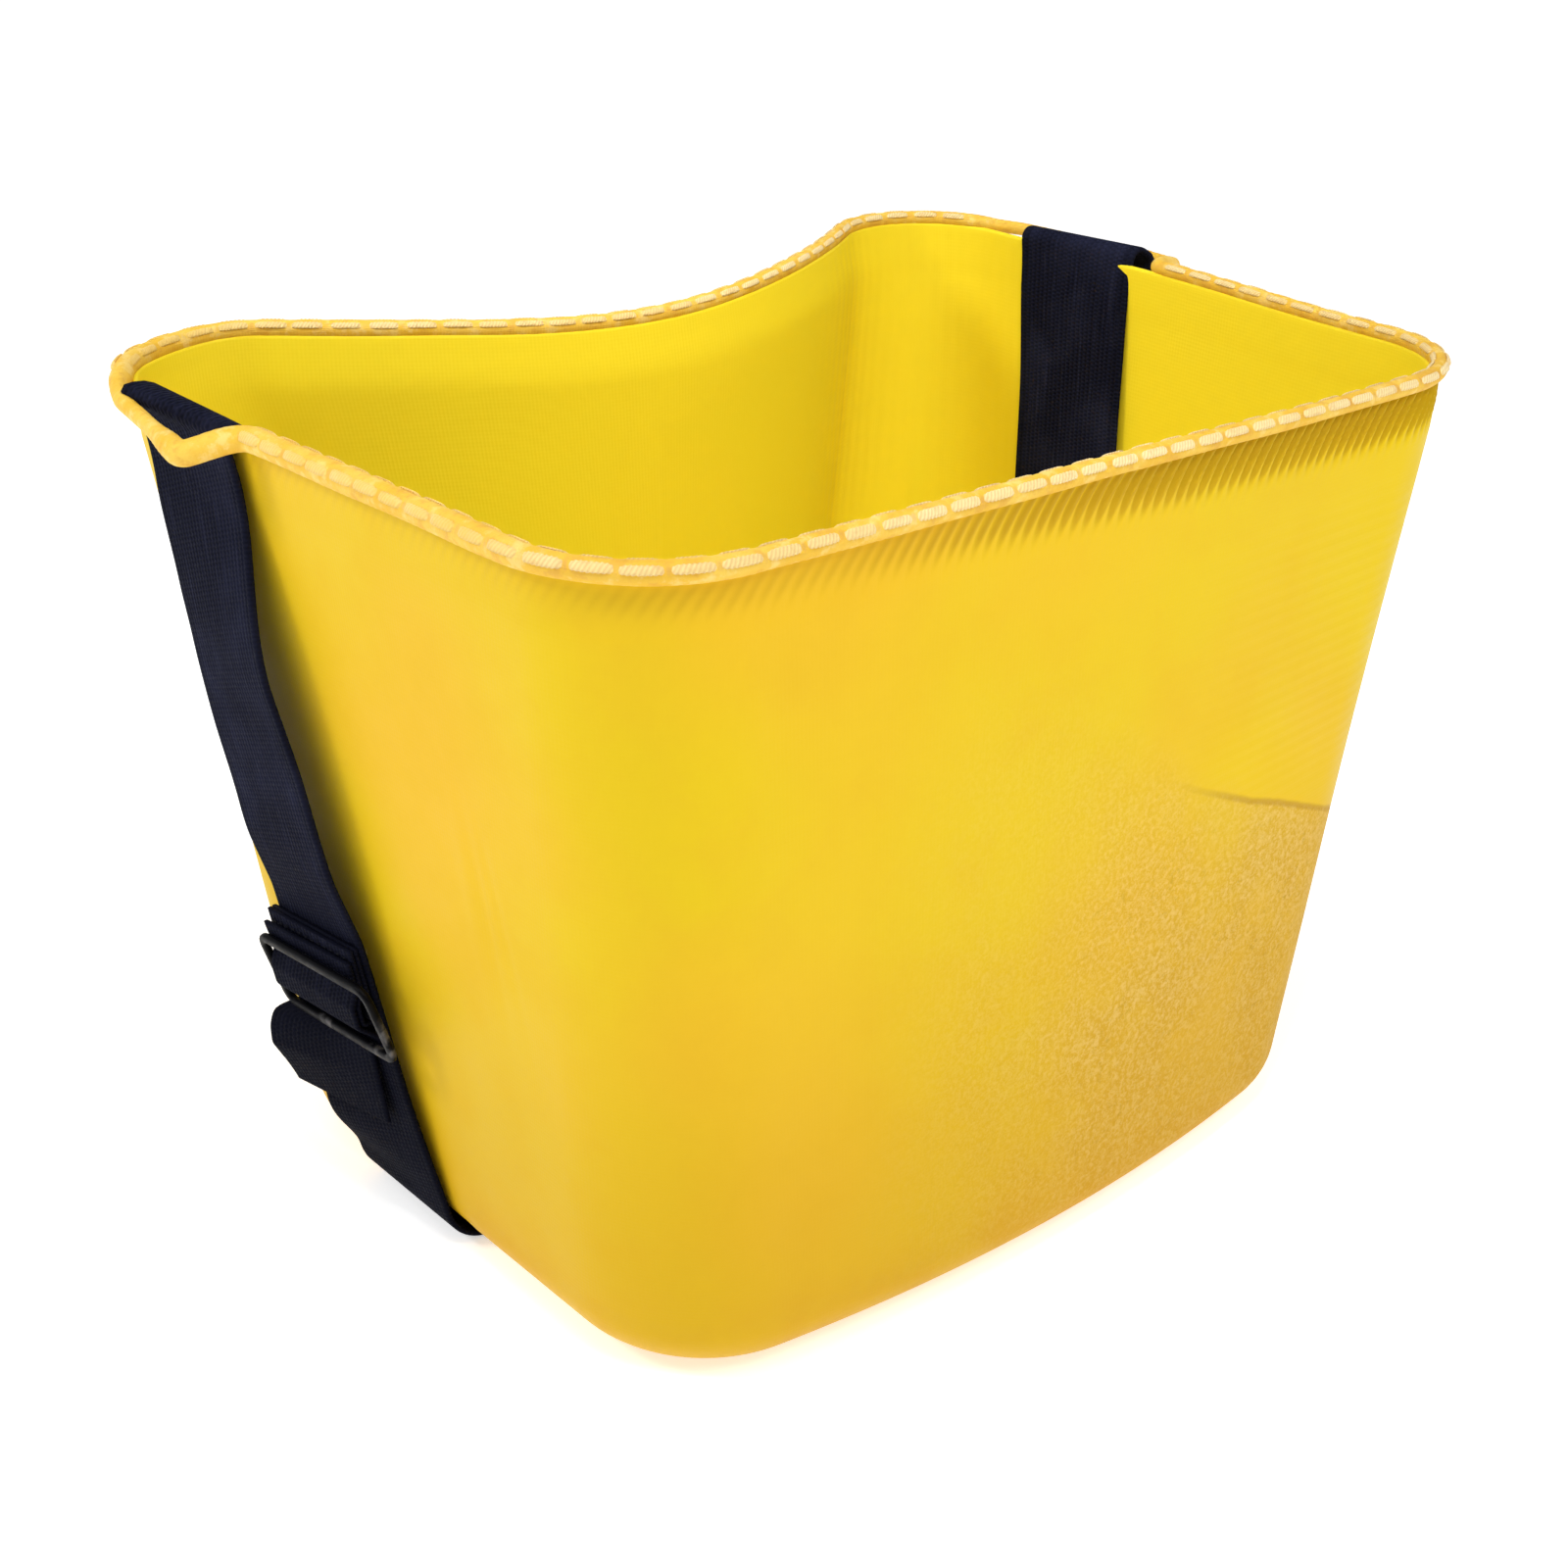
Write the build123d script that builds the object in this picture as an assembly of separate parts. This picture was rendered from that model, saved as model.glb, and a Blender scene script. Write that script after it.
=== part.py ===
from build123d import *
import math
import os

os.makedirs("parts", exist_ok=True)

# ------------------------------------------------------------------ driving dimensions (mm)
# Plan of the mouth, measured on the middle line of the rolled edging
RIM_HALF = 171.0        # half length on the y = 0 line
END_TILT = 1.71         # degrees; each end leans, so the back is longer than the front
RIM_FRONT = -130.25      # foremost point of the front
RIM_BACK = 130.25        # rearmost point of the two shoulders
RIM_R_FRONT = 44.2      # front corner radius
RIM_R_BACK = 35.9       # shoulder radius
RIM_HOLLOW = 45.7       # how deep the back is hollowed for the wearer
RIM_BOW = 4950.0        # radius of the slightly bowed front

# Plan of the wall at its lower reference height
LOW_Z = 10.0
LOW_HALF = 144.95
LOW_FRONT = -124.05
LOW_BACK = 103.45
LOW_R_FRONT = 47.8
LOW_R_BACK = 44.0
LOW_HOLLOW = 30.0
LOW_BOW = 676.0
# Plan of the wall where the lip starts to flare
TOP_Z = 236.0
TOP_HALF = 167.4
TOP_FRONT = -128.45
TOP_BACK = 125.25
TOP_R_FRONT = 41.8
TOP_R_BACK = 31.9
TOP_HOLLOW = 45.7
TOP_BOW = 4500.0

WALL = 2.4              # wall thickness
FLOOR = 5.0             # floor thickness
EDGE_R = 18.0           # round edge between wall and base
LIP_Z = 252.8           # top of the lip
LIP_IN = 2.6            # lip's outer face, inside the edging's middle line

BEAD_R = 5.0            # rolled edging
BEAD_Z = 254.0
WIRE_R = 2.5            # hoop wire
FERRULE_R = 3.6
FERRULE_HALF_ANGLE = 4.2
BULGE = 12.0             # how far the edging stands off the lip at a strap slot
BULGE_R = 9.0
SLOT_STRAIGHT = 53.0

STITCH_PITCH = 13.4
STITCH_LEN = 9.8
STITCH_W = 2.0
STITCH_H = 1.2

STRAP_RIM_Y = 48.5      # middle of the webbing where it passes the edging
STRAP_BASE_Y = 15.2     # middle of the webbing under the base
ROUTE_Y = 40.5          # line on the leaning end that the route's x is measured on
STRAP_W = 50.0
STRAP_T = 2.0
STRAP_GAP = 0.3
UNDER_Z = 1.15          # middle of the run under the base

RUN_A = (154.8, 52.0)    # lower and upper ends of the straight outer run: (x, z)
RUN_B = (179.3, 230.0)

SLIDE_Z = 82.5          # height of the slide's middle bar
SLIDE_W = 66.0
CHEEK_W = 3.6
SLIDE_H = 29.0

t = math.radians(END_TILT)
ct, tt = math.cos(t), math.tan(t)
SLANT = (STRAP_RIM_Y - STRAP_BASE_Y) / BEAD_Z      # the webbing leans towards the back as it climbs


# ------------------------------------------------------------------ kidney outline
def corner_points(half, front, back, rf, rb, hollow, bow):
    """Centres and tangent points of the right-hand half of the outline."""
    ycf = front + rf
    for _ in range(30):
        xf = half + tt * ycf - rf / ct
        ycf = front + bow - math.sqrt((bow - rf) ** 2 - xf * xf)
    ycb = back - rb
    xb = half + tt * ycb - rb / ct
    rc = (xb * xb + hollow * hollow) / (2 * hollow) - rb
    return xf, ycf, xb, ycb, rc


def kidney_edges(p, z, bulge=False):
    half, front, back, rf, rb, hollow, bow = p
    xf, ycf, xb, ycb, rc = corner_points(*p)
    af = math.atan2(ycf - (front + bow), xf)
    ab = math.atan2((back - hollow + rc) - ycb, -xb)

    def on(c, r, ang):
        return (c[0] + r * math.cos(ang), c[1] + r * math.sin(ang))

    f0 = on((0, front + bow), bow, af)
    e0 = on((xf, ycf), rf, -t)
    e1 = on((xb, ycb), rb, -t)
    b0 = on((xb, ycb), rb, ab)
    right = [("arc", f0, on((xf, ycf), rf, (af - t) / 2), e0)]
    if bulge:
        u = (math.sin(t), math.cos(t))          # along the end, towards the back
        o = (math.cos(t), -math.sin(t))         # outwards
        mid_y = STRAP_RIM_Y
        m = (half + tt * mid_y, mid_y)
        run = math.sqrt(4 * BULGE_R * BULGE - BULGE * BULGE)
        th = math.atan2(run, 2 * BULGE_R - BULGE)

        def at(a, b):
            return (m[0] + u[0] * a + o[0] * b, m[1] + u[1] * a + o[1] * b)

        s0 = -(SLOT_STRAIGHT / 2 + run)
        h = th / 2
        q0, q1 = at(s0, 0), at(s0 + run / 2, BULGE / 2)
        q2, q3 = at(-SLOT_STRAIGHT / 2, BULGE), at(SLOT_STRAIGHT / 2, BULGE)
        q4, q5 = at(-s0 - run / 2, BULGE / 2), at(-s0, 0)
        m01 = at(s0 + BULGE_R * math.sin(h), BULGE_R * (1 - math.cos(h)))
        m12 = at(-SLOT_STRAIGHT / 2 - BULGE_R * math.sin(h), BULGE - BULGE_R * (1 - math.cos(h)))
        m34 = at(SLOT_STRAIGHT / 2 + BULGE_R * math.sin(h), BULGE - BULGE_R * (1 - math.cos(h)))
        m45 = at(-s0 - BULGE_R * math.sin(h), BULGE_R * (1 - math.cos(h)))
        right += [("line", e0, q0), ("arc", q0, m01, q1), ("arc", q1, m12, q2), ("line", q2, q3),
                  ("arc", q3, m34, q4), ("arc", q4, m45, q5), ("line", q5, e1)]
    else:
        right += [("line", e0, e1)]
    right += [("arc", e1, on((xb, ycb), rb, (ab - t) / 2), b0)]

    def flip(q):
        return (-q[0], q[1])

    left = [(s[0],) + tuple(flip(q) for q in reversed(s[1:])) for s in reversed(right)]
    back_mid = (0, back - hollow)
    segs = right + [("arc", b0, back_mid, flip(b0))] + left + [("arc", flip(f0), (0, front), f0)]
    out = []
    for s in segs:
        q = [(a[0], a[1], z) for a in s[1:]]
        out.append(Edge.make_three_point_arc(*q) if s[0] == "arc" else Edge.make_line(*q))
    return out


def kidney(p, z, bulge=False):
    return Wire(kidney_edges(p, z, bulge))


def inset(p, d):
    """The same outline moved inwards by d all round."""
    half, front, back, rf, rb, hollow, bow = p
    return (half - d / ct, front + d, back - d, rf - d, rb - d, hollow, bow - d)


RIM = (RIM_HALF, RIM_FRONT, RIM_BACK, RIM_R_FRONT, RIM_R_BACK, RIM_HOLLOW, RIM_BOW)
LOW = (LOW_HALF, LOW_FRONT, LOW_BACK, LOW_R_FRONT, LOW_R_BACK, LOW_HOLLOW, LOW_BOW)
TOP = (TOP_HALF, TOP_FRONT, TOP_BACK, TOP_R_FRONT, TOP_R_BACK, TOP_HOLLOW, TOP_BOW)


def mix(p, q, w):
    r = [a + (b - a) * w for a, b in zip(p, q)]
    r[6] = 1 / ((1 - w) / p[6] + w / q[6])
    return tuple(r)


def wall_at(z):
    """Outer face of the wall at height z."""
    w = (z - LOW_Z) / (TOP_Z - LOW_Z)
    return mix(LOW, TOP, min(w, 1.0) if z <= TOP_Z else 1.0)


def lip_at(z):
    w = (z - TOP_Z) / (LIP_Z - TOP_Z)
    w = w * w * (3 - 2 * w) * 0.55 + w * 0.45
    return mix(TOP, inset(RIM, LIP_IN), w)


# ------------------------------------------------------------------ tub
outer, inner = [], []
for k in range(6):
    a = math.radians(18 * k)
    z = EDGE_R * (1 - math.cos(a))
    outer.append(kidney(inset(wall_at(z), EDGE_R * (1 - math.sin(a))), z))
outer.append(kidney(wall_at(TOP_Z), TOP_Z))
for z in (241.5, 247.0, LIP_Z):
    outer.append(kidney(lip_at(z), z))
IN_R = EDGE_R - WALL
for k in range(6):
    a = math.radians(18 * k)
    z = FLOOR + IN_R * (1 - math.cos(a))
    inner.append(kidney(inset(wall_at(z), WALL + IN_R * (1 - math.sin(a))), z))
inner.append(kidney(inset(wall_at(TOP_Z), WALL), TOP_Z))
for z in (241.5, 247.0, LIP_Z):
    inner.append(kidney(inset(lip_at(z), WALL), z))
inner.append(kidney(inset(lip_at(LIP_Z), WALL), LIP_Z + 4))

tub = Solid.make_loft(outer, ruled=True) - Solid.make_loft(inner, ruled=True)
# the soft base gives way where the webbing passes under it
tub = tub - Pos(0, STRAP_BASE_Y, 0) * Box(2 * RIM_HALF, STRAP_W + 3, 2 * (UNDER_Z + STRAP_T / 2 + STRAP_GAP))

# ------------------------------------------------------------------ rolled edging, hoop and ferrule
rim_path = kidney(RIM, BEAD_Z, bulge=True)


def ring(r):
    sec = Plane(origin=rim_path @ 0, z_dir=rim_path % 0) * Circle(r)
    return sweep(sec, path=rim_path)


bead_full = ring(BEAD_R)
wire_hoop = ring(WIRE_R)
xf, ycf, xb, ycb, rc = corner_points(*RIM)
back_centre = (0, RIM_BACK - RIM_HOLLOW + rc)


def back_arc(half_deg):
    pts = []
    for d in (-half_deg, 0, half_deg):
        a = math.radians(-90 + d)
        pts.append((back_centre[0] + rc * math.cos(a), back_centre[1] + rc * math.sin(a), BEAD_Z))
    return Edge.make_three_point_arc(*pts)


ferrule_path = back_arc(FERRULE_HALF_ANGLE)
ferrule_solid = sweep(Plane(origin=ferrule_path @ 0, z_dir=ferrule_path % 0) * Circle(FERRULE_R), path=ferrule_path)
ferrule_room = sweep(Plane(origin=ferrule_path @ 0, z_dir=ferrule_path % 0) * Circle(FERRULE_R + 0.05), path=ferrule_path)
# the hoop's two ends stand 2 mm apart inside the ferrule
gap_cut = Pos(0, RIM_BACK - RIM_HOLLOW, BEAD_Z) * Box(2.0, 12, 12)
wire_bore = ring(WIRE_R + 0.05)
binding = bead_full - wire_bore - ferrule_room
ferrule = ferrule_solid - wire_bore
hoop = wire_hoop - gap_cut
tub = tub - ring(BEAD_R + 0.02)
tub_solids = tub.solids().sort_by(lambda s: s.volume)
tub = tub_solids[-1]

# ------------------------------------------------------------------ running stitches on the edging
stitches = []
length = rim_path.length
n_st = int(length / STITCH_PITCH)
for i in range(n_st):
    w = (i + 0.5) / n_st
    p, d = rim_path.position_at(w), rim_path.tangent_at(w)
    if p.Y > 0 and abs(p.X) > RIM_HALF + 3 and abs(p.Y - STRAP_RIM_Y) < SLOT_STRAIGHT / 2 + 6:
        continue
    pl = Plane(origin=(p.X, p.Y, BEAD_Z + BEAD_R - 0.35), x_dir=(d.X, d.Y, 0), z_dir=(0, 0, 1))
    st = Box(STITCH_LEN, STITCH_W, STITCH_H, align=(Align.CENTER, Align.CENTER, Align.MIN))
    st = fillet(st.edges().filter_by(Axis.Z), 0.9)
    stitches.append(pl.location * st)
rim_stitches = Compound(children=stitches)


# ------------------------------------------------------------------ webbing loop
def offset_poly(pts, h):
    """Closed polygon moved to its left by h."""
    n, out = len(pts), []
    for i in range(n):
        a, b, c = pts[i - 1], pts[i], pts[(i + 1) % n]
        d1 = ((b[0] - a[0]), (b[1] - a[1])); l1 = math.hypot(*d1)
        d2 = ((c[0] - b[0]), (c[1] - b[1])); l2 = math.hypot(*d2)
        n1 = (-d1[1] / l1, d1[0] / l1); n2 = (-d2[1] / l2, d2[0] / l2)
        k = 1 + n1[0] * n2[0] + n1[1] * n2[1]
        out.append((b[0] + h * (n1[0] + n2[0]) / k, b[1] + h * (n1[1] + n2[1]) / k))
    return out


def turn(pts, i):
    a, b, c = pts[i - 1], pts[i], pts[(i + 1) % len(pts)]
    return (b[0] - a[0]) * (c[1] - b[1]) - (b[1] - a[1]) * (c[0] - b[0])


half_route = [((146.5, UNDER_Z), 14.0), (RUN_A, 60.0), (RUN_B, 60.0),
              ((177.6, 258.2), 6.0), ((164.4, 258.2), 6.0), ((163.6, 238.0), 60.0),
              ((142.3, 40.0), 60.0), ((136.0, FLOOR + STRAP_GAP + STRAP_T / 2), 14.0)]
route = half_route + [((-p[0], p[1]), r) for p, r in reversed(half_route)]
pts = [p for p, r in route]
rad = [r for p, r in route]


ca = math.cos(math.atan(SLANT))


def loop_wire(h, y):
    """One edge of the webbing, drawn on a slanting plane; the runs lie parallel to the leaning ends."""
    side = [(p[0] + math.copysign(1.0, p[0]) * tt * (y + SLANT * p[1] - ROUTE_Y), p[1] / ca) for p in pts]
    q = offset_poly(side, h)
    rr = [r - h if turn(side, i) > 0 else r + h for i, r in enumerate(rad)]
    pl = Plane(origin=(0, y, 0), x_dir=(1, 0, 0), z_dir=(0, -ca, ca * SLANT))
    return pl * Wire(FilletPolyline(*q, radius=rr, close=True).edges())


Y0, Y1 = STRAP_BASE_Y - STRAP_W / 2, STRAP_BASE_Y + STRAP_W / 2
band = (Solid.make_loft([loop_wire(-STRAP_T / 2, Y0), loop_wire(-STRAP_T / 2, Y1)], ruled=True)
        - Solid.make_loft([loop_wire(STRAP_T / 2, Y0), loop_wire(STRAP_T / 2, Y1)], ruled=True))
print("strap run length", round(sum(e.length for e in FilletPolyline(*pts, radius=rad, close=True).edges()), 1))

# ------------------------------------------------------------------ slide and what is threaded through it
def on_run(x, z):
    y = STRAP_BASE_Y + SLANT * z
    return Vector(-(x + tt * (y - ROUTE_Y)), y, z)


run_a, run_b = on_run(*RUN_A), on_run(*RUN_B)
d = (run_b - run_a).normalized()
nrm = d.cross(Vector(-math.sin(t), math.cos(t), 0)).normalized()   # away from the wall
across = nrm.cross(d).normalized()                                 # across the webbing, towards the back
org = run_a + (run_b - run_a) * ((SLIDE_Z - RUN_A[1]) / (RUN_B[1] - RUN_A[1]))
SL = Plane(origin=org, x_dir=nrm, z_dir=across)
print("slide axis", (round(d.X, 6), round(d.Y, 6), round(d.Z, 6)), "origin", org, "outwards", nrm)


def ribbon(points, radii, thick, width):
    """Webbing laid along (outwards, up the run) points, spread across the run."""
    line = FilletPolyline(*points, radius=radii)
    return extrude(SL * trace(line, thick), width / 2, both=True)


H2 = SLIDE_H / 2


def rail(v, n0, wv, tn):
    f = SL * Pos(n0, v) * RectangleRounded(tn, wv, min(tn, wv) * 0.32)
    return extrude(f, SLIDE_W / 2 - 1.0, both=True)


cheek = make_face(Polyline((2.9, -H2), (5.9, -H2), (9.5, H2), (6.5, H2), (5.3, 4.5), (2.9, 2.6), (2.9, -4.0), close=True).edges())
cheeks = []
for sgn in (-1, 1):
    c = extrude(SL * cheek, CHEEK_W / 2, both=True)
    cheeks.append(c.translate(across * (sgn * (SLIDE_W / 2 - CHEEK_W / 2))))
slide = rail(-H2 + 2.0, 4.5, 4.0, 2.8) + rail(H2 - 2.0, 7.9, 4.0, 2.8) + rail(0, 4.1, 3.2, 2.2) + cheeks[0] + cheeks[1]

end_loop = ribbon([(2.05, 21.0), (2.05, -3.4), (6.15, -3.4), (6.15, 3.0), (3.65, 8.0), (3.65, 21.0)],
                  [0.9, 0.9, 2.0, 2.0], 1.5, STRAP_W)
tail = ribbon([(2.05, -38.0), (2.05, -9.5), (8.0, -3.5), (8.0, 3.2), (5.35, 8.2), (5.35, 17.5)],
              [3.0, 2.5, 2.0, 3.0], 1.5, STRAP_W)
loop_rows = []
for v in (14.5, 18.0):
    for i in range(12):
        y = (i - 5.5) * 3.8
        pl = SL * Pos(3.0, v, y)
        loop_rows.append(pl * Box(3.1, 0.8, 2.4))
loop_stitches = Compound(children=loop_rows)

# ------------------------------------------------------------------ write the nodes
nodes = {
    "tub_shell": tub,
    "rim_binding": binding,
    "rim_wire": hoop,
    "wire_ferrule": ferrule,
    "rim_stitches": rim_stitches,
    "shoulder_strap": band,
    "strap_slider": slide,
    "strap_end_loop": end_loop,
    "strap_tail": tail,
    "loop_stitches": loop_stitches,
}
for name, shape in nodes.items():
    export_step(shape, f"parts/{name}.step")
    bb = shape.bounding_box()
    print(name, len(shape.solids()), round(shape.volume, 1), [round(q, 1) for q in (*bb.min, *bb.max)])
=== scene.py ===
import math

import bmesh
import bpy
import numpy as np
from mathutils import Matrix, Vector


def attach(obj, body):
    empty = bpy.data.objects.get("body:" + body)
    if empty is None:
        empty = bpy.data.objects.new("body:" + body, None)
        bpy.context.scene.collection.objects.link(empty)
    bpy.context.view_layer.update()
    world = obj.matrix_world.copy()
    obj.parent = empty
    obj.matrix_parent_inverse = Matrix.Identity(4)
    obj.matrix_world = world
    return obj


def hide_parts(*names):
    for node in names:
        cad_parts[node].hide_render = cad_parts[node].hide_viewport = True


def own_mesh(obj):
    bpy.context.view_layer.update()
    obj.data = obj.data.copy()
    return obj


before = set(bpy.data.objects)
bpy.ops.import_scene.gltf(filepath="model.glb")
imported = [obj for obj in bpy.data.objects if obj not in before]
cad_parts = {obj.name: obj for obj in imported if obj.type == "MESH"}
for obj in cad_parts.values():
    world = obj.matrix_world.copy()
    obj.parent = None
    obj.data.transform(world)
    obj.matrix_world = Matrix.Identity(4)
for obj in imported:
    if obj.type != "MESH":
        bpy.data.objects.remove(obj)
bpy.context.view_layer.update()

MM = 0.001
rng = np.random.default_rng(11)
PI = math.pi


def smooth(a, b, x):
    w = np.clip((np.asarray(x, float) - a) / (b - a), 0.0, 1.0)
    return w * w * (3 - 2 * w)


def bump(x, c, w):
    return np.exp(-((np.asarray(x, float) - c) / w) ** 2)


# =================================================================== plan outline (mm)
TILT = math.radians(1.71)
CT, ST, TT = math.cos(TILT), math.sin(TILT), math.tan(TILT)
RIM = (171.0, -130.25, 130.25, 44.2, 35.9, 45.7, 4950.0)
LOW = (144.95, -124.05, 103.45, 47.8, 44.0, 30.0, 676.0)
TOP = (167.4, -128.45, 125.25, 41.8, 31.9, 45.7, 4500.0)
LOW_Z, TOP_Z, LIP_Z = 10.0, 236.0, 252.8
WALL, FLOOR, EDGE_R, LIP_IN = 2.4, 5.0, 18.0, 2.6
BEAD_R, BEAD_Z = 4.4, 254.0
BASE_Y, RIM_Y, ROUTE_Y = 15.2, 48.5, 40.5
SLANT = (RIM_Y - BASE_Y) / BEAD_Z


def corner_points(p):
    half, front, back, rf, rb, hollow, bow = p
    ycf = front + rf
    for _ in range(30):
        xf = half + TT * ycf - rf / CT
        ycf = front + bow - math.sqrt((bow - rf) ** 2 - xf * xf)
    ycb = back - rb
    xb = half + TT * ycb - rb / CT
    rc = (xb * xb + hollow * hollow) / (2 * hollow) - rb
    return xf, ycf, xb, ycb, rc


def outline(p, counts):
    """Closed loop from the front's middle towards +x: points and outward normals."""
    half, front, back, rf, rb, hollow, bow = p
    xf, ycf, xb, ycb, rc = corner_points(p)
    af = math.atan2(ycf - (front + bow), xf)
    ab = math.atan2((back - hollow + rc) - ycb, -xb)
    nf, nc, ne, nb, nh = counts
    pts, nrm = [], []

    def arc(cx, cy, r, angs, sign=1.0):
        c = np.stack([np.cos(angs), np.sin(angs)], 1)
        pts.append(np.array([cx, cy]) + r * c)
        nrm.append(sign * c)

    arc(0, front + bow, bow, np.linspace(-PI / 2, af, nf, endpoint=False))
    arc(xf, ycf, rf, np.linspace(af, -TILT, nc, endpoint=False))
    e0 = np.array([xf + rf * CT, ycf - rf * ST])
    e1 = np.array([xb + rb * CT, ycb - rb * ST])
    w = np.linspace(0, 1, ne, endpoint=False)[:, None]
    pts.append(e0 + (e1 - e0) * w)
    nrm.append(np.repeat([[CT, -ST]], ne, 0))
    arc(xb, ycb, rb, np.linspace(-TILT, ab, nb, endpoint=False))
    arc(0, back - hollow + rc, rc, np.linspace(ab + PI, 1.5 * PI, nh + 1), -1.0)
    P, N = np.concatenate(pts), np.concatenate(nrm)
    flip = np.array([-1.0, 1.0])
    return np.concatenate([P, (P[1:-1] * flip)[::-1]]), np.concatenate([N, (N[1:-1] * flip)[::-1]])


def inset(p, d):
    half, front, back, rf, rb, hollow, bow = p
    return (half - d / CT, front + d, back - d, rf - d, rb - d, hollow, bow - d)


def mix(p, q, w):
    r = [a + (b - a) * w for a, b in zip(p, q)]
    r[6] = 1 / ((1 - w) / p[6] + w / q[6])
    return tuple(r)


def wall_at(z):
    return mix(LOW, TOP, min((z - LOW_Z) / (TOP_Z - LOW_Z), 1.0))


def lip_at(z):
    if z <= TOP_Z:
        return wall_at(z)
    w = min((z - TOP_Z) / (LIP_Z - TOP_Z), 1.0)
    w = w * w * (3 - 2 * w) * 0.55 + w * 0.45
    return mix(TOP, inset(RIM, LIP_IN), w)


def arc_length(P, closed=True):
    d = np.linalg.norm(np.diff(np.concatenate([P, P[:1]]), axis=0), axis=1)
    return np.concatenate([[0], np.cumsum(d)])


def rim_raise(P):
    """How far the real rim lies above (or below) a level plane."""
    x, y = P[:, 0], P[:, 1]
    up = 0.6 + 1.6 * (1 - smooth(-75, 45, y)) * (1 - 0.95 * smooth(-20, 95, x))
    up = up + 2.2 * np.maximum(smooth(60, 100, y) * smooth(-160, -118, x), smooth(120, 160, x) * smooth(-80, 20, y))
    back = (y > 60) & (np.abs(x) < 120)
    return up - np.where(back, 2.45 * (1 + np.cos(PI * x / 120.0)), 0.0)


# =================================================================== mesh helpers
def grid_mesh(name, P, U, V, closed=True, attrs=None, caps=False, flip=False, merge=0.0):
    """P: (rows, columns, 3) in mm. U: columns (+1 when closed), V: rows, both in mm."""
    R, C = P.shape[:2]
    me = bpy.data.meshes.new(name)
    cols = C if closed else C - 1
    i, j = np.meshgrid(np.arange(R - 1), np.arange(cols), indexing="ij")
    i, j = i.ravel(), j.ravel()
    j2 = (j + 1) % C
    f = np.stack([i * C + j, i * C + j2, (i + 1) * C + j2, (i + 1) * C + j], 1)
    uv = np.stack([np.stack([U[j], V[i]], 1), np.stack([U[j + 1], V[i]], 1),
                   np.stack([U[j + 1], V[i + 1]], 1), np.stack([U[j], V[i + 1]], 1)], 1)
    if flip:
        f, uv = f[:, ::-1], uv[:, ::-1]
    faces = f.tolist()
    uv = uv.reshape(-1, 2)
    if caps:
        a, b = list(range(C)), list(range((R - 1) * C, R * C))
        a, b = (a[::-1], b) if not flip else (a, b[::-1])
        faces += [a, b]
        uv = np.concatenate([uv, np.zeros((2 * C, 2))])
    me.from_pydata((P.reshape(-1, 3) * MM).tolist(), [], faces)
    lay = me.uv_layers.new(name="UVMap")
    lay.data.foreach_set("uv", (uv * MM).ravel().astype(np.float32))
    for k, a in (attrs or {}).items():
        me.attributes.new(k, "FLOAT", "POINT").data.foreach_set("value", np.asarray(a, np.float32).ravel())
    me.polygons.foreach_set("use_smooth", np.ones(len(me.polygons), bool))
    if merge:
        bm = bmesh.new()
        bm.from_mesh(me)
        bmesh.ops.remove_doubles(bm, verts=bm.verts, dist=merge * MM)
        bmesh.ops.dissolve_degenerate(bm, edges=bm.edges, dist=1e-7)
        bm.to_mesh(me)
        bm.free()
    me.update()
    ob = bpy.data.objects.new(name, me)
    bpy.context.scene.collection.objects.link(ob)
    return ob


def join_grids(name, parts):
    """Several closed tubes as one mesh. parts: list of (P, U, V) with caps."""
    verts, faces, uvs, base = [], [], [], 0
    for P, U, V in parts:
        R, C = P.shape[:2]
        i, j = np.meshgrid(np.arange(R - 1), np.arange(C), indexing="ij")
        i, j = i.ravel(), j.ravel()
        j2 = (j + 1) % C
        f = np.stack([i * C + j, i * C + j2, (i + 1) * C + j2, (i + 1) * C + j], 1) + base
        uv = np.stack([np.stack([U[j], V[i]], 1), np.stack([U[j + 1], V[i]], 1),
                       np.stack([U[j + 1], V[i + 1]], 1), np.stack([U[j], V[i + 1]], 1)], 1)
        faces += f.tolist() + [list(range(base, base + C))[::-1], list(range(base + (R - 1) * C, base + R * C))]
        uvs.append(np.concatenate([uv.reshape(-1, 2), np.zeros((2 * C, 2))]))
        verts.append(P.reshape(-1, 3))
        base += R * C
    me = bpy.data.meshes.new(name)
    me.from_pydata((np.concatenate(verts) * MM).tolist(), [], faces)
    me.uv_layers.new(name="UVMap").data.foreach_set("uv", (np.concatenate(uvs) * MM).ravel().astype(np.float32))
    me.polygons.foreach_set("use_smooth", np.ones(len(me.polygons), bool))
    me.update()
    ob = bpy.data.objects.new(name, me)
    bpy.context.scene.collection.objects.link(ob)
    return ob


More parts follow.
